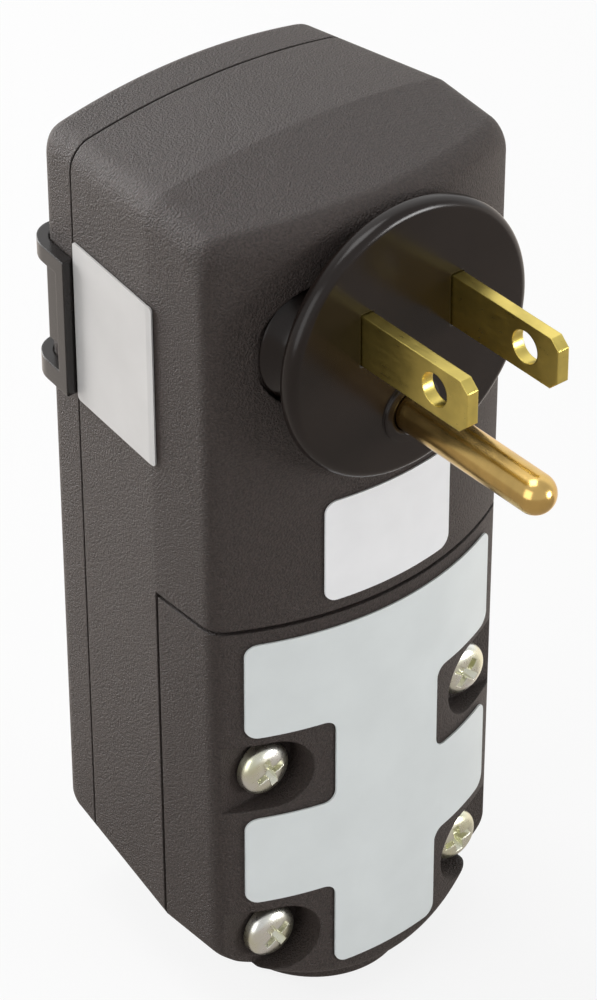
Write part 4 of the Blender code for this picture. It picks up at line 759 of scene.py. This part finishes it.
def pan_screw(name, x, z, seat, size, sign, spin):
    """Crown head: radius follows a quarter ellipse from the rim to the flat top, then a plain shank."""
    head_r, head_h, shank_r, length = size
    turn = np.linspace(0.0, 1.0, 12)
    crown = [(head_r * (0.35 + 0.65 * math.sin(a * np.pi / 2)),
              seat - sign * head_h * (0.30 + 0.70 * math.cos(a * np.pi / 2) ** 0.8)) for a in turn]
    profile = crown + [(head_r, seat), (shank_r, seat), (shank_r, seat + sign * length)]
    screw = lathe(name, "Y", (x, z), profile, 48)
    face = seat - sign * head_h
    for quarter_turn in (0.0, np.pi / 2):
        rows, levels = cross_wedge(face, sign, head_r * 0.60, head_r * 0.15, head_h * 0.62)
        c, s = math.cos(spin + quarter_turn), math.sin(spin + quarter_turn)
        turned = [r @ np.array([[c, s], [-s, c]]) + np.array([x, z]) for r in rows]
        carve(screw, tube_piece("wedge", stack(turned, levels, "Y")))
    return smooth(screw, 40.0)


SPINS = {("upper", -1): 0.35, ("upper", 1): 0.9, ("lower", -1): 0.6, ("lower", 1): 0.2}
COVER_SIZE, CASE_SIZE = (3.3, 2.1, 1.5, 13.0), (2.7, 1.8, 1.2, 9.0)
for kind, spots, seat, size, way in (("cover", COVER_SCREWS, POCKET_Y - GAP, COVER_SIZE, 1),
                                     ("case", CASE_SCREWS, REAR_Y - SINK_DEPTH + GAP, CASE_SIZE, -1)):
    for level, (sx, sz) in zip(("upper", "lower"), spots):
        for sign, side in ((-1, "left"), (1, "right")):
            node = f"{kind}_screw_{level}_{side}"
            piece = pan_screw("zinc_" + node, sign * sx, sz, seat, size, way, SPINS[(level, sign)])
            dress(piece, ZINC, "zinc", "case", node)

# %% [markdown]
# ## Labels
# Three bare films lie on the case. Each is the thin layer between two insets of the case form, kept
# inside a rounded outline, so it bends with the surface under it. A flat plane with a Shrinkwrap
# modifier would also follow the case, but would have no thickness at its edge.

# %% Labels
LABEL_GAP, LABEL_T, LABEL_CORNER = 0.1, 0.2, 1.5


def film(name, outline, axis, lo, hi):
    """Layer just off the case, kept inside an outline."""
    zone = prism("outline", outline, axis, lo, hi)
    layer = carve(case_form(name, -LABEL_GAP - LABEL_T), zone, "INTERSECT")
    carve(layer, case_form("under", -LABEL_GAP))
    return mark_joint(smooth(layer, 20.0))


serial_box = [(-9.0, -33.0), (9.0, -33.0), (9.0, -19.5), (-9.0, -19.5)]
dress(film("bare_serial_film", rounded(serial_box, LABEL_CORNER), "Y", -PAST, JOINT_Y),
      LABEL_WHITE, "label_white", "case", "serial_label")
LEVELS = (-86.0, -73.9, -73.9, -61.6, -61.6, -49.9, -49.9, -36.8)
WIDE, WAIST = 17.9, 7.5
right = list(zip((WAIST, WAIST, WIDE, WIDE, WAIST, WAIST, WIDE, WIDE), LEVELS))
stepped = right + [(-x, z) for x, z in right[::-1]]
dress(film("bare_wiring_film", rounded(stepped, LABEL_CORNER), "Y", -PAST, JOINT_Y),
      LABEL_SILVER, "label_silver", "case", "wiring_label")
side_back = PARTING_Y - GAP
side_box = [(18.0, -16.9), (side_back, -16.9), (side_back, 4.0), (18.0, 4.0)]
dress(film("bare_rating_film", rounded(side_box, 0.5), "X", -FAR, 0.0),
      LABEL_SIDE, "label_silver", "case", "rating_label")

# %% [markdown]
# ## Button guard
# A band hugs the rear of the case: bars along the parting line, two straps across the back and a thin
# set-back web in each side window. It is again a layer between two insets, with windows cut in it.

# %% Guard
GUARD_TOP, GUARD_LOW, GUARD_GAP, GUARD_T, GUARD_BAR = 1.4, -16.3, 0.15, 1.4, 1.7
WINDOW_TOP, WINDOW_LOW, WEB_LOW, WEB_SET = GUARD_TOP - 2.1, GUARD_LOW + 2.5, -11.0, 0.7
band = slab(PARTING_Y, FAR, GUARD_LOW, GUARD_TOP)
guard = carve(case_form("guard_band", -GUARD_GAP - GUARD_T), band, "INTERSECT")
carve(guard, case_form("under", -GUARD_GAP))
carve(guard, slab(PARTING_Y + GUARD_BAR, FAR, WINDOW_LOW, WINDOW_TOP))
for sign in (-1, 1):
    edge_x = sign * (REAR_HALF_W - REAR_CORNER)
    zone = block("zone", (min(edge_x, sign * FAR), PARTING_Y + GUARD_BAR / 2, WEB_LOW),
                 (max(edge_x, sign * FAR), REAR_Y - REAR_CORNER, WINDOW_TOP + 1.0))
    web = carve(case_form("web", -GUARD_GAP - GUARD_T + WEB_SET), zone, "INTERSECT")
    carve(web, case_form("under", -GUARD_GAP))
    carve(guard, web, "UNION")
dress(smooth(guard, 30.0), GUARD_GLOSS, "smooth_black", "case", "button_guard")

# %% [markdown]
# ## Buttons
# The two buttons sit in the rear face between the guard straps. Each has a cap with rounded edges,
# a stop flange that keeps it from falling out and a rod that reaches the mechanism.

# %% Buttons
BUTTON_PROUD, STOP_LAP, STOP_T, ROD_R, SINK_IN = 1.2, 1.0, 1.2, 1.5, 0.4
CAP_EDGE = ((0.7, 0.0), (0.3, 0.12), (0.08, 0.4), (0.0, 0.8))


def button(name, x, rod_end):
    """Stack of rounded rectangles for the cap, with a flange and a rod joined to it."""
    flange, proud = REAR_Y - WALL - GAP, REAR_Y + BUTTON_PROUD
    levels = [flange - SINK_IN] + [proud - drop for drop, _ in CAP_EDGE]
    rows = [rectangle(x, BUTTON_Z, BUTTON_W - shrink, BUTTON_H - shrink, 1.0)
            for shrink in [0.0] + [shrink for _, shrink in CAP_EDGE]]
    piece = tube_piece(name, stack(rows, levels, "Y"))
    w, h = BUTTON_W + STOP_LAP, BUTTON_H + STOP_LAP
    stop = block("stop", (x - w, flange - STOP_T, BUTTON_Z - h), (x + w, flange, BUTTON_Z + h))
    carve(piece, stop, "UNION")
    rod = lathe("rod", "Y", (x, BUTTON_Z), [(ROD_R, rod_end), (ROD_R, flange - SINK_IN)], 32)
    return smooth(carve(piece, rod, "UNION"), 32.0)


RESET_ROD_END, TEST_ROD_END = 21.1, 31.2
reset = button("red_reset_button", BUTTON_X, RESET_ROD_END)
dress(reset, RED_BUTTON, "button_red", "reset_button", "reset_button")
test = button("black_test_button", -BUTTON_X, TEST_ROD_END)
dress(test, BLACK_BUTTON, "button_black", "test_button", "test_button")

# %% [markdown]
# ## Return springs
# Behind each button a steel coil stands between the mechanism plate and the button flange. A stiff
# copy would be cut by the flange when the button goes in, and blending its ends across the joint would
# crowd the middle turns. Here each coil is built at rest in the box of its node and rides the case; the
# joint and travel listed with it are not used.

# %% Return springs
WIRE_R, COIL_TURNS = 0.35, 4


def coil(name, node):
    """Round wire swept along a helix about the Y axis, in the box of its CAD node."""
    low, high = (np.array(corner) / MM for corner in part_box(node))
    centre, reach = (low + high) / 2.0, (high[0] - low[0]) / 2.0 - WIRE_R
    run = np.linspace(0.0, 1.0, 40 * COIL_TURNS + 1)
    turn = 2.0 * np.pi * COIL_TURNS * run[:, None]
    round_wire = np.linspace(0.0, 2.0 * np.pi, 10, endpoint=False)[None, :]
    out = reach + WIRE_R * np.cos(round_wire)
    along = (low[1] + WIRE_R + (high[1] - low[1] - 2.0 * WIRE_R) * run)[:, None]
    grid = np.stack([centre[0] + out * np.cos(turn), along + WIRE_R * np.sin(round_wire),
                     centre[2] + out * np.sin(turn)], axis=-1)
    return smooth(tube_piece(name, grid), 60.0)


for name, node, joint, travel in (("reset_coil", "reset_spring", "reset_press", 2.0),
                                  ("test_coil", "test_spring", "test_press", 1.5)):
    piece = dress(coil(name, node), STEEL, "steel", "case", node)
    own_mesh(piece)

# %% [markdown]
# ## Grommet
# The rubber grommet is a turned ring in the cord neck, with a flange on the inside that keeps it
# from being pulled out. Its section is a closed loop of (radius, height), so it is spun into a torus
# and needs no caps.

# %% Grommet
GROMMET_R, GROMMET_STEPS = 6.2, 96
section = np.array([(8.1, -91.4), (8.1, -86.0), (9.6, -86.0), (9.6, -84.4), (6.6, -84.4),
                    (GROMMET_R, -84.8), (GROMMET_R, -91.0), (6.6, -91.4)])
reach, height = section.T[:, None, :]
spin = np.linspace(0.0, 2.0 * np.pi, GROMMET_STEPS, endpoint=False)[:, None]
grid = np.stack(np.broadcast_arrays(reach * np.cos(spin), CORD_Y + reach * np.sin(spin), height), axis=-1)
wrapped = np.array(tube_faces(GROMMET_STEPS + 1, len(section))) % (GROMMET_STEPS * len(section))
grommet = face_out(mesh_piece("rubber_grommet", grid.reshape(-1, 3), wrapped.tolist()))
dress(smooth(grommet, 40.0), RUBBER, "rubber", "case", "cord_grommet")

# %% [markdown]
# ## Stage
# The photograph is a cut-out on white. A pale floor looks white to the camera and keeps a soft
# shadow. In reflections it is white only behind the unit, as a white sheet on a table would be, and
# a warm middle tone in front, as from a card that keeps the glossy plug face deep. The room is
# white to the camera in the same way, so no extra light falls on the unit.

# %% Floor and sheet
FLOOR_Z = (NECK_FOOT - 0.4) * MM


def stage_plane(name, corners, material):
    """Flat piece of the stage from four corners in metres."""
    mesh = bpy.data.meshes.new(name)
    mesh.from_pydata(corners, [], [(0, 1, 2, 3)])
    mesh.materials.append(material)
    plane = bpy.data.objects.new(name, mesh)
    scene.collection.objects.link(plane)
    return plane


def step_along(tree, direction, start, end):
    """Smooth step from 0 to 1 along a level direction on the floor."""
    coord = add(tree, "ShaderNodeTexCoord")
    dot = add(tree, "ShaderNodeVectorMath", operation="DOT_PRODUCT")
    dot.inputs[1].default_value = direction
    link(tree, coord.outputs["Object"], dot.inputs[0])
    node = add(tree, "ShaderNodeMapRange", interpolation_type="SMOOTHSTEP")
    node.inputs["From Min"].default_value = start
    node.inputs["From Max"].default_value = end
    link(tree, dot.outputs["Value"], node.inputs["Value"])
    return node.outputs["Result"]


def calc(tree, operation, a, b):
    """Math node on two sockets or numbers."""
    node = add(tree, "ShaderNodeMath", operation=operation)
    for socket, value in zip(node.inputs, (a, b)):
        if isinstance(value, float):
            socket.default_value = value
        else:
            link(tree, value, socket)
    return node.outputs[0]


def pale_sheet(name, shadow, white_zone):
    """Matt pale sheet that shows white to the camera, less a share kept for shadows."""
    mat = bpy.data.materials.new(name)
    mat.use_nodes = True
    tree = mat.node_tree
    tree.nodes.clear()
    out = add(tree, "ShaderNodeOutputMaterial")
    matt = add(tree, "ShaderNodeBsdfDiffuse", Color=(0.80, 0.80, 0.80, 1.0))
    glow = add(tree, "ShaderNodeEmission", Color=(1.0, 1.0, 1.0, 1.0))
    path = add(tree, "ShaderNodeLightPath")
    camera_ray, glossy_ray = path.outputs["Is Camera Ray"], path.outputs["Is Glossy Ray"]
    zone = calc(tree, "MAXIMUM", white_zone(tree), CARD_TONE)
    link(tree, calc(tree, "MAXIMUM", camera_ray, zone), glow.inputs["Strength"])
    warm = add(tree, "ShaderNodeMix", data_type="RGBA")
    warm.inputs["A"].default_value = WARM_CARD
    warm.inputs["B"].default_value = (1.0, 1.0, 1.0, 1.0)
    link(tree, camera_ray, warm.inputs["Factor"])
    link(tree, warm.outputs["Result"], glow.inputs["Color"])
    mix = add(tree, "ShaderNodeMixShader")
    to_camera = calc(tree, "MULTIPLY", camera_ray, 1.0 - shadow)
    link(tree, calc(tree, "ADD", to_camera, glossy_ray), mix.inputs["Fac"])
    link(tree, matt.outputs[0], mix.inputs[1])
    link(tree, glow.outputs[0], mix.inputs[2])
    link(tree, mix.outputs[0], out.inputs["Surface"])
    return mat


CARD_TONE, WARM_CARD, LEFT_TONE = 0.40, (1.0, 0.91, 0.83, 1.0), 0.60
FLOOR_HALF, SHADOW_SHARE = 3.0, 0.15
AWAY, LEFT_EDGE = (0.634, 0.773, 0.0), (0.839, 0.545, 0.0)


def behind_unit(tree):
    """White zone behind the unit, fading to a middle tone on its left."""
    step = step_along(tree, LEFT_EDGE, -0.02, 0.02)
    left = calc(tree, "ADD", calc(tree, "MULTIPLY", step, 1.0 - LEFT_TONE), LEFT_TONE)
    return calc(tree, "MULTIPLY", step_along(tree, AWAY, 0.0, 0.05), left)


corners = [(x * FLOOR_HALF, y * FLOOR_HALF, FLOOR_Z) for x, y in ((-1, -1), (1, -1), (1, 1), (-1, 1))]
stage_plane("floor", corners, pale_sheet("pale_floor", SHADOW_SHARE, behind_unit))

# %% Room
world = bpy.data.worlds.new("white_room")
scene.world = world
world.use_nodes = True
tree = world.node_tree
tree.nodes.clear()
out = add(tree, "ShaderNodeOutputWorld")
back = add(tree, "ShaderNodeBackground", Color=(1.0, 1.0, 1.0, 1.0))
path = add(tree, "ShaderNodeLightPath")
ROOM_LIGHT, ROOM_SHINE, SHEET_SHINE = 0.34, 0.55, 0.45
behind = step_along(tree, AWAY, 0.1, 0.5)
shine = calc(tree, "ADD", calc(tree, "MULTIPLY", behind, SHEET_SHINE), ROOM_SHINE)
shown = calc(tree, "MULTIPLY", path.outputs["Is Glossy Ray"], shine)
seen = calc(tree, "MAXIMUM", path.outputs["Is Camera Ray"], shown)
link(tree, calc(tree, "MAXIMUM", seen, ROOM_LIGHT), back.inputs["Strength"])
link(tree, back.outputs[0], out.inputs["Surface"])
print("stage ready, floor at", round(FLOOR_Z, 4))

# %% [markdown]
# Soft boxes: a wide one on the left fills the long side, a small key comes from the front right, one
# from above picks out the edges, and one behind on the left gives the rear of the side its sheen.

# %% Lights
def axes_at(side, up, back, place):
    """Matrix with the three axes as columns, at a place in metres."""
    return Matrix((*zip(side, up, back, place), (0, 0, 0, 1)))


def soft_box(name, place, aim, size, power):
    """Square area lamp at a place, turned so that it faces the aim point."""
    lamp = bpy.data.lights.new(name, "AREA")
    lamp.energy = power
    lamp.shape = "SQUARE"
    lamp.size = size
    obj = bpy.data.objects.new(name, lamp)
    scene.collection.objects.link(obj)
    away = np.array(place) - np.array(aim)
    away = away / np.linalg.norm(away)
    side = np.cross((0.0, 0.0, 1.0), away)
    side = side / np.linalg.norm(side)
    obj.matrix_world = axes_at(side, np.cross(away, side), away, place)
    return obj


AIM = (0.0, 0.01, -0.03)
soft_box("left_box", (-0.75, -0.10, 0.25), AIM, 0.6, 1.5)
soft_box("key_box", (0.50, -0.75, 0.06), AIM, 0.30, 3.4)
soft_box("top_box", (-0.10, 0.10, 0.80), AIM, 0.5, 2.5)
soft_box("back_box", (-0.20, 0.80, 0.16), AIM, 0.5, 7.2)
print("lights ready")

# %% [markdown]
# ## Camera
# The camera was fitted to the blades, labels and edges in the photograph: it stands 39 degrees to
# the left of the plug face, looks 35 degrees down and is far away, so lines stay almost parallel.

# %% Camera
AZIMUTH, ELEVATION = math.radians(-39.34), math.radians(35.41)
FOCAL_PX, VIEW_X, VIEW_Y, DISTANCE, PHOTO_H = 5143.07, -12.24, -19.56, 552.67, 1000.0
right_dir = np.array([math.cos(AZIMUTH), math.sin(AZIMUTH), 0.0])
level = math.cos(ELEVATION)
back_dir = np.array([math.sin(AZIMUTH) * level, -math.cos(AZIMUTH) * level, math.sin(ELEVATION)])
up_dir = np.cross(back_dir, right_dir)
place = right_dir * VIEW_X + up_dir * VIEW_Y + back_dir * DISTANCE + (0.0, 0.0, BLADE_Z)
camera = bpy.data.cameras.new("photo_camera")
camera.sensor_fit = "VERTICAL"
camera.sensor_height = 24.0
camera.lens = camera.sensor_height * FOCAL_PX / PHOTO_H
eye = bpy.data.objects.new("photo_camera", camera)
scene.collection.objects.link(eye)
eye.matrix_world = axes_at(right_dir, up_dir, back_dir, place * MM)
scene.camera = eye
print("camera lens", round(camera.lens, 1), "mm")
